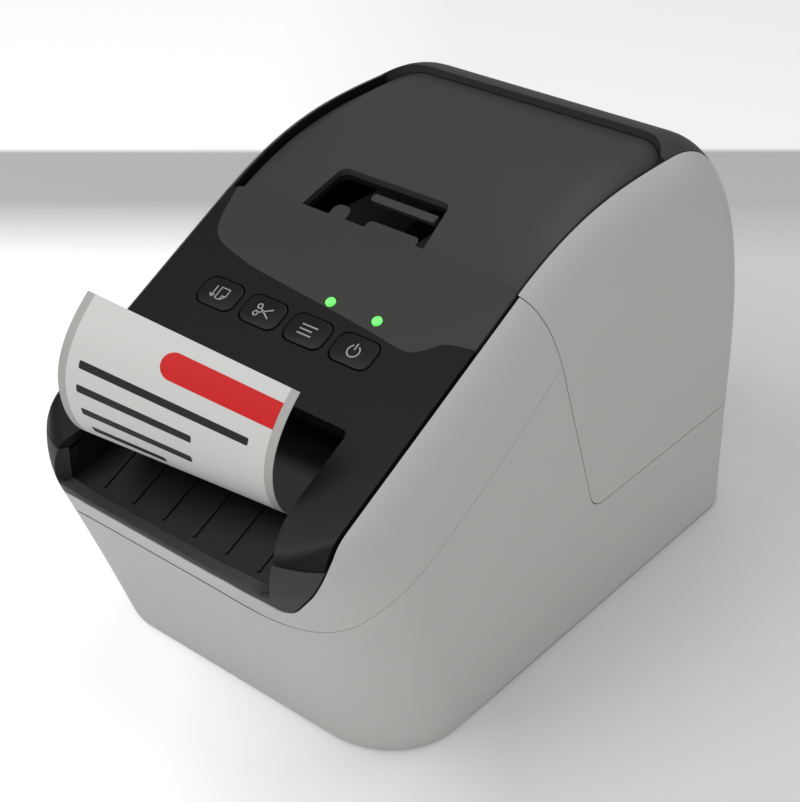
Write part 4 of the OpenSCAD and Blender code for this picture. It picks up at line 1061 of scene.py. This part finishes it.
    def plate_outline(self, grow: float) -> list[Point]:
        """Returns the recessed plate's outline seen from above, without its front edge."""
        w, y, far = self.plate_half, self.plate_back_y, self.form.far
        outline = [(-w, -far), (w, -far), *fillet((w, -far), (w, y), (0, y), self.plate_r, 18),
                   *fillet((0, y), (-w, y), (-w, -far), self.plate_r, 18)]
        return self._grown(outline, grow)

    def window_outline(self) -> list[Point]:
        """Returns the window in the plate's front edge seen from above."""
        back = self.lid_front_y + self.window_l
        top, low = self.window_w / 2 - self.window_slant, self.window_w / 2 + self.window_slant
        front = self.lid_front_y - self.window_past
        x = self.window_x
        return [(x - low, front), (x + low, front),
                *fillet((x + low, front), (x + top, back), (x, back), self.window_r, 12),
                *fillet((x, back), (x - top, back), (x - low, front), self.window_r, 12)]

    # Pieces

    def _shell(self, name: str, outer: float, inner: float) -> bpy.types.Object:
        """Makes a shell between two insets."""
        return carve(self.form.solid(name, outer), self.form.solid("core", inner), Cut.AWAY)

    def build(self) -> None:
        """Builds every shell of the casing."""
        self.build_lower_case()
        self.build_front_frame()
        self.build_face_panel()
        self.build_accent()
        self.build_lip()
        self.build_lid()

    def build_lower_case(self) -> None:
        """Builds the light lower case with its sockets' openings and vents."""
        form = self.form
        obj = self._shell("fine_lower_case", 0, form.wall)
        carve(obj, self.case_region(), Cut.KEEP)
        carve(obj, self.band(form.seam), Cut.AWAY)
        carve(obj, self._level(-form.far, form.foot + self.foot_trim), Cut.AWAY)
        y, z = self.hinge
        tail = math.hypot(form.rear_y - y, z - self.seam_v[1] + form.seam / 2) + self.tail_room
        circle = ring(tail, self.tail_steps, self.hinge)
        carve(obj, prism("tail", Facing.SIDE, circle, -form.half, form.half), Cut.AWAY)
        low, high = form.foot - form.wall, form.foot + self.floor_t
        carve(obj, prism("floor", Facing.TOP, self._floor_outline(), low, high), Cut.AWAY)
        near, past = form.rear_y - self.opening_reach, form.rear_y + self.opening_reach
        for x, z, w, h in self._rear_openings():
            outline = box_outline(x - w / 2, z - h / 2, x + w / 2, z + h / 2)
            carve(obj, prism("opening", Facing.FRONT, outline, near, past), Cut.AWAY)
        finish_piece(shade(obj), self.finishes.case, "housing", ["lower_case"])

    def _rear_openings(self) -> list[tuple[float, float, float, float]]:
        """Returns the rear wall's openings: middle x and z, width and height."""
        heights = (self.vent_first_z + i * self.vent_pitch for i in range(self.vent_count))
        return [self.inlet_hole, self.data_hole, *((0.0, z, self.vent_w, self.vent_h) for z in heights)]

    def _floor_outline(self) -> list[Point]:
        """Returns the bottom plate's opening seen from above."""
        form = self.form
        front = form.foot_p.x + form.wall
        back = form.rear_y - form.rear_setback - form.wall
        w, r = form.half - form.wall, self.floor_corner
        return [*fillet((w, 0), (w, back), (0, back), r), *fillet((0, back), (-w, back), (-w, 0), r),
                *fillet((-w, 0), (-w, front), (0, front), r), *fillet((0, front), (w, front), (w, 0), r)]

    def build_front_frame(self) -> None:
        """Builds the light frame round the dark face."""
        obj = self._shell("fine_front_frame", 0, self.form.wall)
        carve(obj, self.front_region(), Cut.KEEP)
        carve(obj, self.band(self.form.seam), Cut.AWAY)
        finish_piece(shade(obj), self.finishes.case, "housing", ["front_frame"])

    def _level(self, low: float, high: float) -> bpy.types.Object:
        """Makes a wide slab between two heights."""
        far = self.form.far
        return prism("level", Facing.TOP, box_outline(-far, -far, far, far), low, high)

    def _open_face(self, obj: bpy.types.Object, outline: Sequence[Point], x: float, y: float) -> None:
        """Cuts a hole through a piece, square to the face.

        Args:
            obj: The piece.
            outline: The hole's outline about its middle.
            x: The middle's place across.
            y: The middle's place along.
        """
        tool = prism("hole", Facing.TOP, outline, -self.hole_reach, self.hole_reach)
        tool.data.transform(self.form.on_face(x, y))
        carve(obj, tool, Cut.AWAY)

    def _open_pipes(self, obj: bpy.types.Object) -> None:
        """Cuts the two holes of the indicators."""
        for key in LIT_KEYS:
            self._open_face(obj, ring(self.pipe_hole_r), key.x, self.keys.pipe_y)

    def _trim_sides(self, obj: bpy.types.Object) -> None:
        """Keeps a piece clear of the light flanks."""
        edge, far = self.form.edge_x - self.form.seam, self.form.far
        carve(obj, prism("sides", Facing.TOP, box_outline(-edge, -far, edge, far), 0, far), Cut.KEEP)

    def build_face_panel(self) -> None:
        """Builds the black face panel, open for the outlet, buttons and indicators."""
        form = self.form
        obj = self._shell("fine_face_panel", 0, form.wall)
        carve(obj, self.band(0), Cut.KEEP)
        carve(obj, self.face_plan(), Cut.KEEP)
        carve(obj, self._level(-form.far, self.lip_z + form.seam / 2), Cut.AWAY)
        carve(obj, self.outlet(0), Cut.AWAY)
        carve(obj, self._accent_tool(self.accent_gap), Cut.AWAY)
        keys = self.keys
        opening = rounded_box(keys.width + 2 * self.key_room, keys.length + 2 * self.key_room, keys.corner)
        for key in KEYS:
            self._open_face(obj, opening, key.x, keys.row_y)
        self._open_pipes(obj)
        self._trim_sides(obj)
        finish_piece(shade(obj), self.finishes.face, "housing", ["face_panel"])

    def _accent_tool(self, grow: float) -> bpy.types.Object:
        """Makes the accent field's solid between the face's surface and its depth."""
        edge, far = self.form.edge_x, self.form.far
        knots = [(x * edge, self.lid_front_y - y * self.face_length) for x, y in self.accent_shares]
        outline = [*smooth_line(knots, 5), (edge, self.accent_back_y), (knots[0][0], self.accent_back_y)]
        tool = prism("accent", Facing.TOP, self._grown(outline, grow), self.accent_low, far)
        carve(tool, self.face_plan(grow), Cut.KEEP)
        for x, width, reach, corner in self.tongues:
            box = rounded_box(width, self.tongue_l, corner)
            middle = self.lid_front_y + reach - self.tongue_l / 2
            outline = self._grown([(px + x, py + middle) for px, py in box], grow)
            carve(tool, prism("tongue", Facing.TOP, outline, self.accent_low, far), Cut.JOIN)
        carve(tool, self.form.solid("inside", self.accent_t + max(0.0, grow)), Cut.AWAY)
        return tool

    def build_accent(self) -> None:
        """Builds the accent field let into the face."""
        obj = self._accent_tool(0.0)
        obj.name = "fine_accent_panel"
        carve(obj, self.form.solid("outside", 0), Cut.KEEP)
        self._open_pipes(obj)
        self._trim_sides(obj)
        finish_piece(shade(obj), self.finishes.accent, "housing", ["accent_panel"])

    def build_lip(self) -> None:
        """Builds the grey lip: two solid ends at the nose joined by a strip under the mouth."""
        form = self.form
        obj = form.solid("fine_outlet_lip", 0)
        carve(obj, self.band(0), Cut.KEEP)
        carve(obj, self.lip_plan(-form.seam / 2), Cut.KEEP)
        carve(obj, self._level(self.lip_z - form.seam / 2, form.far), Cut.AWAY)
        mouth = self.mouth_front(0)
        carve(mouth, self.outlet(0), Cut.KEEP)
        carve(obj, mouth, Cut.AWAY)
        behind = self.mouth_front(-self.strip_h)
        carve(behind, self.outlet(0), Cut.KEEP)
        carve(behind, form.solid("inside", self.strip_t), Cut.KEEP)
        carve(obj, behind, Cut.AWAY)
        room = self.outlet(self.tray_t + self.tray_room)
        carve(room, self.behind_nose(self.tray_inset - self.tray_room), Cut.KEEP)
        carve(obj, room, Cut.AWAY)
        finish_piece(shade(obj), self.finishes.lip, "housing", ["outlet_lip"])

    def build_lid(self) -> None:
        """Builds the lid's plate, side panels and rear cover."""
        form, far = self.form, self.form.far
        plate = self._shell("fine_lid_top", self.plate_recess, self.plate_recess + self.plate_t)
        carve(plate, prism("plate", Facing.TOP, self.plate_outline(0), self.plate_low, far), Cut.KEEP)
        carve(plate, self.lid_plan(), Cut.KEEP)
        carve(plate, prism("window", Facing.TOP, self.window_outline(), 0, far), Cut.AWAY)
        finish_piece(shade(plate), self.finishes.lid, "lid", ["lid_top"])

        shell = self._shell("lid_shell", 0, form.wall)
        carve(shell, self.lid_region(), Cut.KEEP)
        for side, name in ((1, "right"), (-1, "left")):
            panel = copy_of(shell, f"fine_lid_side_{name}")
            x0, x1 = sorted((side * form.edge_x, side * far))
            carve(panel, prism("beside", Facing.TOP, box_outline(x0, -far, x1, far), 0, far), Cut.KEEP)
            finish_piece(shade(panel), self.finishes.case, "lid", [f"lid_side_{name}"])
        cover = shell
        cover.name = "fine_rear_cover"
        w = form.edge_x - self.cover_gap
        box = box_outline(-w, self.cover_front_y - self.cover_tuck, w, far)
        carve(cover, prism("behind", Facing.TOP, box, 0, far), Cut.KEEP)
        outline = self.plate_outline(self.cover_gap)
        carve(cover, prism("plate", Facing.TOP, outline, self.plate_low, far), Cut.AWAY)
        finish_piece(shade(cover), self.finishes.lid, "lid", ["rear_cover"])


def smooth_line(knots: Sequence[Point], steps: int) -> list[Point]:
    """Runs a smooth curve through points.

    Args:
        knots: The points.
        steps: Chords between two of them.

    Returns:
        The curve's points.
    """
    pts = [Vector(k) for k in knots]
    out: list[Point] = []
    for i in range(len(pts) - 1):
        a = (pts[i + 1] - pts[i - 1]) / 6 if i else (pts[1] - pts[0]) / 6
        b = (pts[i + 2] - pts[i]) / 6 if i + 2 < len(pts) else (pts[-1] - pts[-2]) / 6
        piece = curve(tuple(pts[i]), tuple(pts[i] + a), tuple(pts[i + 1] - b), tuple(pts[i + 1]), steps)
        out += piece if not out else piece[1:]
    return out


def rounded_box(w: float, h: float, r: float, steps: int = 10) -> list[Point]:
    """Returns the outline of a box with rounded corners, about the origin."""
    out: list[Point] = []
    for cx, cy, start in ((1, 1, 0), (-1, 1, 1), (-1, -1, 2), (1, -1, 3)):
        for i in range(steps + 1):
            a = math.pi / 2 * (start + i / steps)
            out.append((cx * (w / 2 - r) + r * math.cos(a), cy * (h / 2 - r) + r * math.sin(a)))
    return out


# Buttons and indicators


class Mark(Enum):
    """The signs on the buttons."""

    FEED = "feed"
    CUT = "cut"
    LINES = "lines"
    POWER = "power"


@dataclass(frozen=True)
class Key:
    """One button: its node, body, place and sign."""

    node: str
    body: str
    x: float
    mark: Mark


@dataclass
class Keys:
    """The row of buttons, their signs and the two indicators."""

    form: CasingForm
    finishes: Finishes
    row_y: float = -47.2
    width: float = 14.2
    length: float = 9.6
    corner: float = 3.4
    depth: float = 3.2
    proud: float = 0.3
    rounding: float = 0.45
    stroke: float = 0.42
    sign_t: float = 0.05
    pipe_up: float = 10.8
    socket_r: float = 1.78
    socket_t: float = 0.2
    socket_l: float = 2.2
    socket_sunk: float = 1.15

    @property
    def pipe_y(self) -> float:
        """The place of the indicators."""
        return self.row_y + self.pipe_up * math.cos(self.form.slope)

    def build(self) -> None:
        """Builds the buttons, their signs and the indicators."""
        for key in KEYS:
            self._button(key)
            self._sign(key)
        self._indicators()

    def _button(self, key: Key) -> None:
        """Builds one button with softly rounded top edges."""
        outline = rounded_box(self.width, self.length, self.corner)
        obj = prism(f"fine_{key.node}", Facing.TOP, outline, -self.depth, self.proud)
        bm = bmesh.new()
        bm.from_mesh(obj.data)
        top = [e for e in bm.edges if all(v.co.z > self.proud * MM - TINY for v in e.verts)]
        bmesh.ops.bevel(
            bm, geom=top, offset=self.rounding * MM, offset_type="OFFSET", affect="EDGES", segments=4,
            profile=0.5, material=-1,
        )
        bm.to_mesh(obj.data)
        bm.free()
        obj.data.transform(self.form.on_face(key.x, self.row_y))
        finish_piece(shade(obj, 40), self.finishes.key, key.body, [key.node])

    def _sign(self, key: Key) -> None:
        """Lays one button's sign on its top."""
        strokes: dict[Mark, Callable[[], list[list[Point]]]] = {
            Mark.FEED: self._feed_strokes,
            Mark.CUT: self._cut_strokes,
            Mark.LINES: self._line_strokes,
            Mark.POWER: self._power_strokes,
        }
        bm = bmesh.new()
        for line in strokes[key.mark]():
            self._stroke(bm, line)
        obj = new_object(f"mark_{key.body}", bm)
        obj.data.transform(self.form.on_face(key.x, self.row_y, self.proud + 0.01))
        finish_piece(obj, self.finishes.mark, key.body, ())

    def _stroke(self, bm: bmesh.types.BMesh, line: Sequence[Point]) -> None:
        """Adds one line of even width to a mesh.

        Args:
            bm: The mesh.
            line: The line's points in millimetres.
        """
        pts = [Vector(p) for p in line]
        rails: list[tuple[Any, Any]] = []
        closed = (pts[0] - pts[-1]).length < TINY
        for i, p in enumerate(pts):
            if closed and i in (0, len(pts) - 1):
                d = pts[1] - pts[-2]
            else:
                d = pts[min(i + 1, len(pts) - 1)] - pts[max(i - 1, 0)]
            n = Vector((-d.y, d.x)).normalized() * self.stroke / 2
            rails.append(
                tuple(bm.verts.new(Vector((*(p + s * n), 0.0)) * MM) for s in (1, -1))
            )
        faces = [bm.faces.new((a[1], b[1], b[0], a[0])) for a, b in zip(rails, rails[1:])]
        made = bmesh.ops.extrude_face_region(bm, geom=faces)["geom"]
        tops = [g for g in made if isinstance(g, bmesh.types.BMVert)]
        bmesh.ops.translate(bm, vec=(0, 0, self.sign_t * MM), verts=tops)

    @staticmethod
    def _arc(cx: float, cy: float, r: float, a0: float, a1: float, steps: int = 20) -> list[Point]:
        """Returns an arc between two angles in degrees."""
        angles = (math.radians(a0 + (a1 - a0) * i / steps) for i in range(steps + 1))
        return [(cx + r * math.cos(a), cy + r * math.sin(a)) for a in angles]

    def _feed_strokes(self) -> list[list[Point]]:
        """Returns the sign for feeding: a sheet with a folded corner and an arrow beside it."""
        sheet = [(-0.6, 2.0), (2.6, 2.0), (2.6, -0.6), (1.2, -2.0), (-0.6, -2.0), (-0.6, 2.0)]
        fold = [(2.6, -0.6), (1.2, -0.6), (1.2, -2.0)]
        return [sheet, fold, [(-2.2, 2.0), (-2.2, -2.0)], [(-3.1, -0.9), (-2.2, -2.0), (-1.3, -0.9)]]

    def _cut_strokes(self) -> list[list[Point]]:
        """Returns the sign for cutting: a pair of scissors."""
        return [
            self._arc(-1.9, 1.25, 0.75, 0, 360),
            self._arc(-1.9, -1.25, 0.75, 0, 360),
            [(-1.3, 0.85), (2.9, -1.6)],
            [(-1.3, -0.85), (2.9, 1.6)],
        ]

    def _line_strokes(self) -> list[list[Point]]:
        """Returns three plain lines."""
        return [[(-2.8, 1.5), (2.8, 1.5)], [(-2.8, 0.0), (1.6, 0.0)], [(-2.8, -1.5), (2.2, -1.5)]]

    def _power_strokes(self) -> list[list[Point]]:
        """Returns the sign for power: an open ring with a stroke."""
        return [self._arc(0, -0.2, 1.9, 118, 422, 36), [(0, 0.2), (0, 2.4)]]

    def _indicators(self) -> None:
        """Builds the indicators' dark sockets round their light guides."""
        r, depth = self.socket_r * MM, self.socket_l * MM
        for i, key in enumerate(LIT_KEYS):
            bm = bmesh.new()
            bmesh.ops.create_cone(bm, cap_ends=False, segments=40, radius1=r, radius2=r, depth=depth)
            bmesh.ops.solidify(bm, geom=bm.faces[:], thickness=self.socket_t * MM)
            bmesh.ops.recalc_face_normals(bm, faces=bm.faces)
            obj = new_object(f"indicator_ring_{i}", bm)
            obj.data.transform(self.form.on_face(key.x, self.pipe_y, -self.socket_sunk))
            finish_piece(shade(obj, 40), self.finishes.socket, "housing", ())


KEYS = (
    Key("feed_button", "feed_key", -28.9, Mark.FEED),
    Key("cut_button", "cut_key", -12.1, Mark.CUT),
    Key("mode_button", "mode_key", 4.7, Mark.LINES),
    Key("power_button", "power_key", 21.5, Mark.POWER),
)
LIT_KEYS = KEYS[2:]


# Label


@dataclass
class LabelStrip:
    """The printed label, a twisted curl between a left and a right edge."""

    finishes: Finishes
    half_width: float = 31.0
    thickness: float = 0.3
    steps: int = 24
    columns: int = 24
    left: tuple[Point, ...] = (
        (-54.2, 84.6), (-66, 84.6), (-80, 82.5), (-92, 83.8), (-101, 84.8), (-106, 95), (-105.6, 105.5),
        (-105.2, 114), (-100, 121), (-92.3, 127.5),
    )
    right: tuple[Point, ...] = (
        (-54.2, 84.6), (-62, 84.6), (-70, 82.4), (-78, 78.8), (-84.5, 75.9), (-90.3, 84), (-90, 93.6),
        (-89.8, 101), (-85.5, 108), (-78.6, 114.3),
    )

    def _edge(self, knots: Sequence[Point]) -> list[Vector]:
        """Returns one edge as points that are evenly spread within each curve."""
        out = [Vector(knots[0])]
        for k in range(3):
            out += [Vector(p) for p in curve(*knots[3 * k : 3 * k + 4], self.steps)[1:]]
        return out

    def build(self) -> None:
        """Builds the label as a fine sheet with its thickness."""
        left, right = self._edge(self.left), self._edge(self.right)
        rows = len(left) - 1
        bm = bmesh.new()
        uv = bm.loops.layers.uv.new("sheet")
        bmesh.ops.create_grid(bm, x_segments=self.columns, y_segments=rows, size=1)
        place: dict[Any, Point] = {}
        lengths = [0.0]
        mids = [(a + b) / 2 for a, b in zip(left, right)]
        for a, b in zip(mids, mids[1:]):
            lengths.append(lengths[-1] + (b - a).length)
        for v in bm.verts:
            s, j = (v.co.x + 1) / 2, round((v.co.y + 1) / 2 * rows)
            p = left[j].lerp(right[j], s)
            place[v] = ((2 * s - 1) * self.half_width, lengths[-1] - lengths[j])
            v.co = Vector(((2 * s - 1) * self.half_width, p.x, p.y)) * MM
        for face in bm.faces:
            for loop in face.loops:
                loop[uv].uv = place[loop.vert]
        bm.normal_update()
        for v in bm.verts:
            v.co -= v.normal * self.thickness / 2 * MM
        bmesh.ops.recalc_face_normals(bm, faces=bm.faces)
        obj = new_object("fine_label", bm)
        wall = obj.modifiers.new("wall", "SOLIDIFY")
        wall.thickness = self.thickness * MM
        wall.offset = -1.0
        wall.material_offset = 1
        finish_piece(shade(obj, 60), self.finishes.print, "housing", ["printed_label"])
        obj.data.materials.append(self.finishes.back)


# Plain nodes


@dataclass
class Dressing:
    """Gives the nodes that keep their CAD shape their materials."""

    finishes: Finishes

    def dress(self) -> None:
        """Assigns a material to every node that still shows."""
        f = self.finishes
        table: dict[bpy.types.Material, Iterable[str]] = {
            f.base: ("bottom_plate", "roll_bay", "spool", "hinge_brackets"),
            f.rubber: ("rubber_feet",),
            f.steel: ("chassis", "print_head", "head_springs"),
            f.bright: ("case_screws", "hinge_pins", "cutter_blade", "usb_socket"),
            f.guide: ("label_tray",),
            f.paper: ("label_web", "label_roll"),
            f.card: ("roll_core",),
            f.liner: ("cutter_frame", "lid_liner", "lid_arms", "mains_inlet", "cover_switch"),
            f.lid: ("window_bar",),
            f.housing: ("feed_motor", "cutter_motor"),
            f.board: ("main_board", "power_board", "button_board"),
            f.gear: ("platen_bearings", "platen_gear", "idler_gear"),
            f.brass: ("motor_pinion", "cutter_pinion"),
            f.roller: ("platen_roller",),
            f.glow: ("light_pipes",),
        }
        for material, names in table.items():
            for name in names:
                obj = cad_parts[name]
                obj.data.materials.clear()
                obj.data.materials.append(material)
                LOG.info("%s dressed", name)


# Studio


@dataclass
class Studio:
    """Pale floor and backdrop, soft lights and the camera."""

    focal_px: float = 1660.11
    azimuth: float = 39.76
    elevation: float = 32.21
    place: tuple[float, float, float] = (275.94, -333.85, 333.97)
    frame_px: float = 802.0
    sensor_mm: float = 36.0
    looks_at_z: float = 0.07
    sky: float = 0.26
    # Edges of a painted grey band of shade across the floor far behind the printer, in metres along the view.
    shade_band_near: float = 0.212
    shade_band_far: float = 0.327
    shade_band_edge: float = 0.006
    shade_band_fade: float = 0.06
    shade_from: float = -0.07
    shade_over: float = 0.1
    # Strength of the floor's camera-only glow, painted light that lifts it to white outside the painted
    # shade.
    glow: float = 0.4
    lights: tuple[tuple[str, tuple[float, float, float], float, float], ...] = field(
        default=(
            ("key", (-0.55, -0.75, 1.05), 0.9, 6.0),
            ("fill", (0.8, -1.0, 0.75), 1.0, 3.9),
            ("top", (0.0, 0.35, 1.3), 1.1, 4.9),
        )
    )

    def build(self) -> None:
        """Sets up the camera, floor, world and lights."""
        self._camera()
        self._floor()
        self._world()
        for name, place, size, power in self.lights:
            self._light(name, Vector(place), size, power)
        bpy.context.scene.view_settings.view_transform = "Standard"

    def _camera(self) -> None:
        """Places the camera where the photograph was taken from."""
        data = bpy.data.cameras.new("camera")
        data.sensor_width = self.sensor_mm
        data.sensor_fit = "AUTO"
        data.lens = self.focal_px * self.sensor_mm / self.frame_px
        data.clip_start, data.clip_end = 0.01, 20
        obj = bpy.data.objects.new("camera", data)
        bpy.context.scene.collection.objects.link(obj)
        a, e = math.radians(self.azimuth), math.radians(self.elevation)
        back = Vector((math.sin(a) * math.cos(e), -math.cos(a) * math.cos(e), math.sin(e)))
        right = Vector((math.cos(a), math.sin(a), 0))
        up = back.cross(right)
        turn = Matrix((right, up, back)).transposed().to_4x4()
        obj.matrix_world = Matrix.Translation(Vector(self.place) * MM) @ turn
        bpy.context.scene.camera = obj

    def _floor(self) -> None:
        """Builds a flat pale floor, with a painted grey band of shade far behind the printer."""
        bm = bmesh.new()
        bmesh.ops.create_grid(bm, x_segments=4, y_segments=4, size=4)
        obj = new_object("studio_floor", bm)
        board = Board("studio_floor")
        x, y = board.parts(board.object_place())
        a = math.radians(self.azimuth)
        along, across = y * math.cos(a) - x * math.sin(a), x * math.cos(a) + y * math.sin(a)
        # Painted shade: a grey band far behind the printer, where a backdrop would bend up, and a darker,
        # warmer floor to the printer's right, where its broad soft shadow falls.
        beyond = ((along - self.shade_band_far) / self.shade_band_edge).clamped()
        band = ((along - self.shade_band_near) / self.shade_band_fade).clamped() * (1 - beyond)
        side = ((across - self.shade_from) / self.shade_over).clamped() * (1 - beyond * 0.75)
        seen = board.node("ShaderNodeLightPath", out="Is Camera Ray")
        shade_tinted_floor = board.mix(side, linear("F4F4F4"), linear("F2F0EE"))
        # Painted light: a glow seen only by the camera lifts the floor to white, except in the painted band
        # and the painted shade to the right.
        board.set(
            Base_Color=board.mix(band, shade_tinted_floor, linear("D4D4D4")),
            Emission_Color=board.mix((1 - side) * (1 - band) * seen, linear("000000"), linear("FFFFFF")),
            Emission_Strength=self.glow,
            Roughness=0.6,
            Specular_IOR_Level=0.2,
        )
        obj.data.materials.append(board.material)

    def _world(self) -> None:
        """Gives the world an even pale light, white to the camera."""
        world = bpy.data.worlds.new("studio")
        bpy.context.scene.world = world
        world.use_nodes = True
        sheet = NodeSheet(world.node_tree)
        white = (1, 1, 1, 1)
        seen = sheet.node("ShaderNodeLightPath", out="Is Camera Ray")
        dim = sheet.node("ShaderNodeBackground", None, {"Color": white, "Strength": self.sky})
        plain = sheet.node("ShaderNodeBackground", None, {"Color": white, "Strength": 1.0})
        mixed = sheet.node("ShaderNodeMixShader", None, {0: seen, 1: dim, 2: plain})
        sheet.add("ShaderNodeOutputWorld", None, {"Surface": mixed})

    def _light(self, name: str, place: Vector, size: float, power: float) -> None:
        """Adds one soft lamp that faces the printer.

        Args:
            name: The lamp's name.
            place: Where it stands, in metres.
            size: The side of its square panel.
            power: Its power in watts.
        """
        data = bpy.data.lights.new(name, "AREA")
        data.shape = "SQUARE"
        data.size = size
        data.energy = power
        obj = bpy.data.objects.new(name, data)
        bpy.context.scene.collection.objects.link(obj)
        away = place - Vector((0, 0, self.looks_at_z))
        obj.matrix_world = Matrix.Translation(place) @ away.to_track_quat("Z", "Y").to_matrix().to_4x4()


def main() -> None:
    """Builds the studio and the printer's pieces in order."""
    logging.basicConfig(level=logging.INFO, format="%(message)s")
    Studio().build()
    finishes = Finishes()
    form = CasingForm()
    keys = Keys(form, finishes)
    Casing(form, finishes, keys).build()
    keys.build()
    LabelStrip(finishes).build()
    Dressing(finishes).dress()


if __name__ == "__main__":
    main()
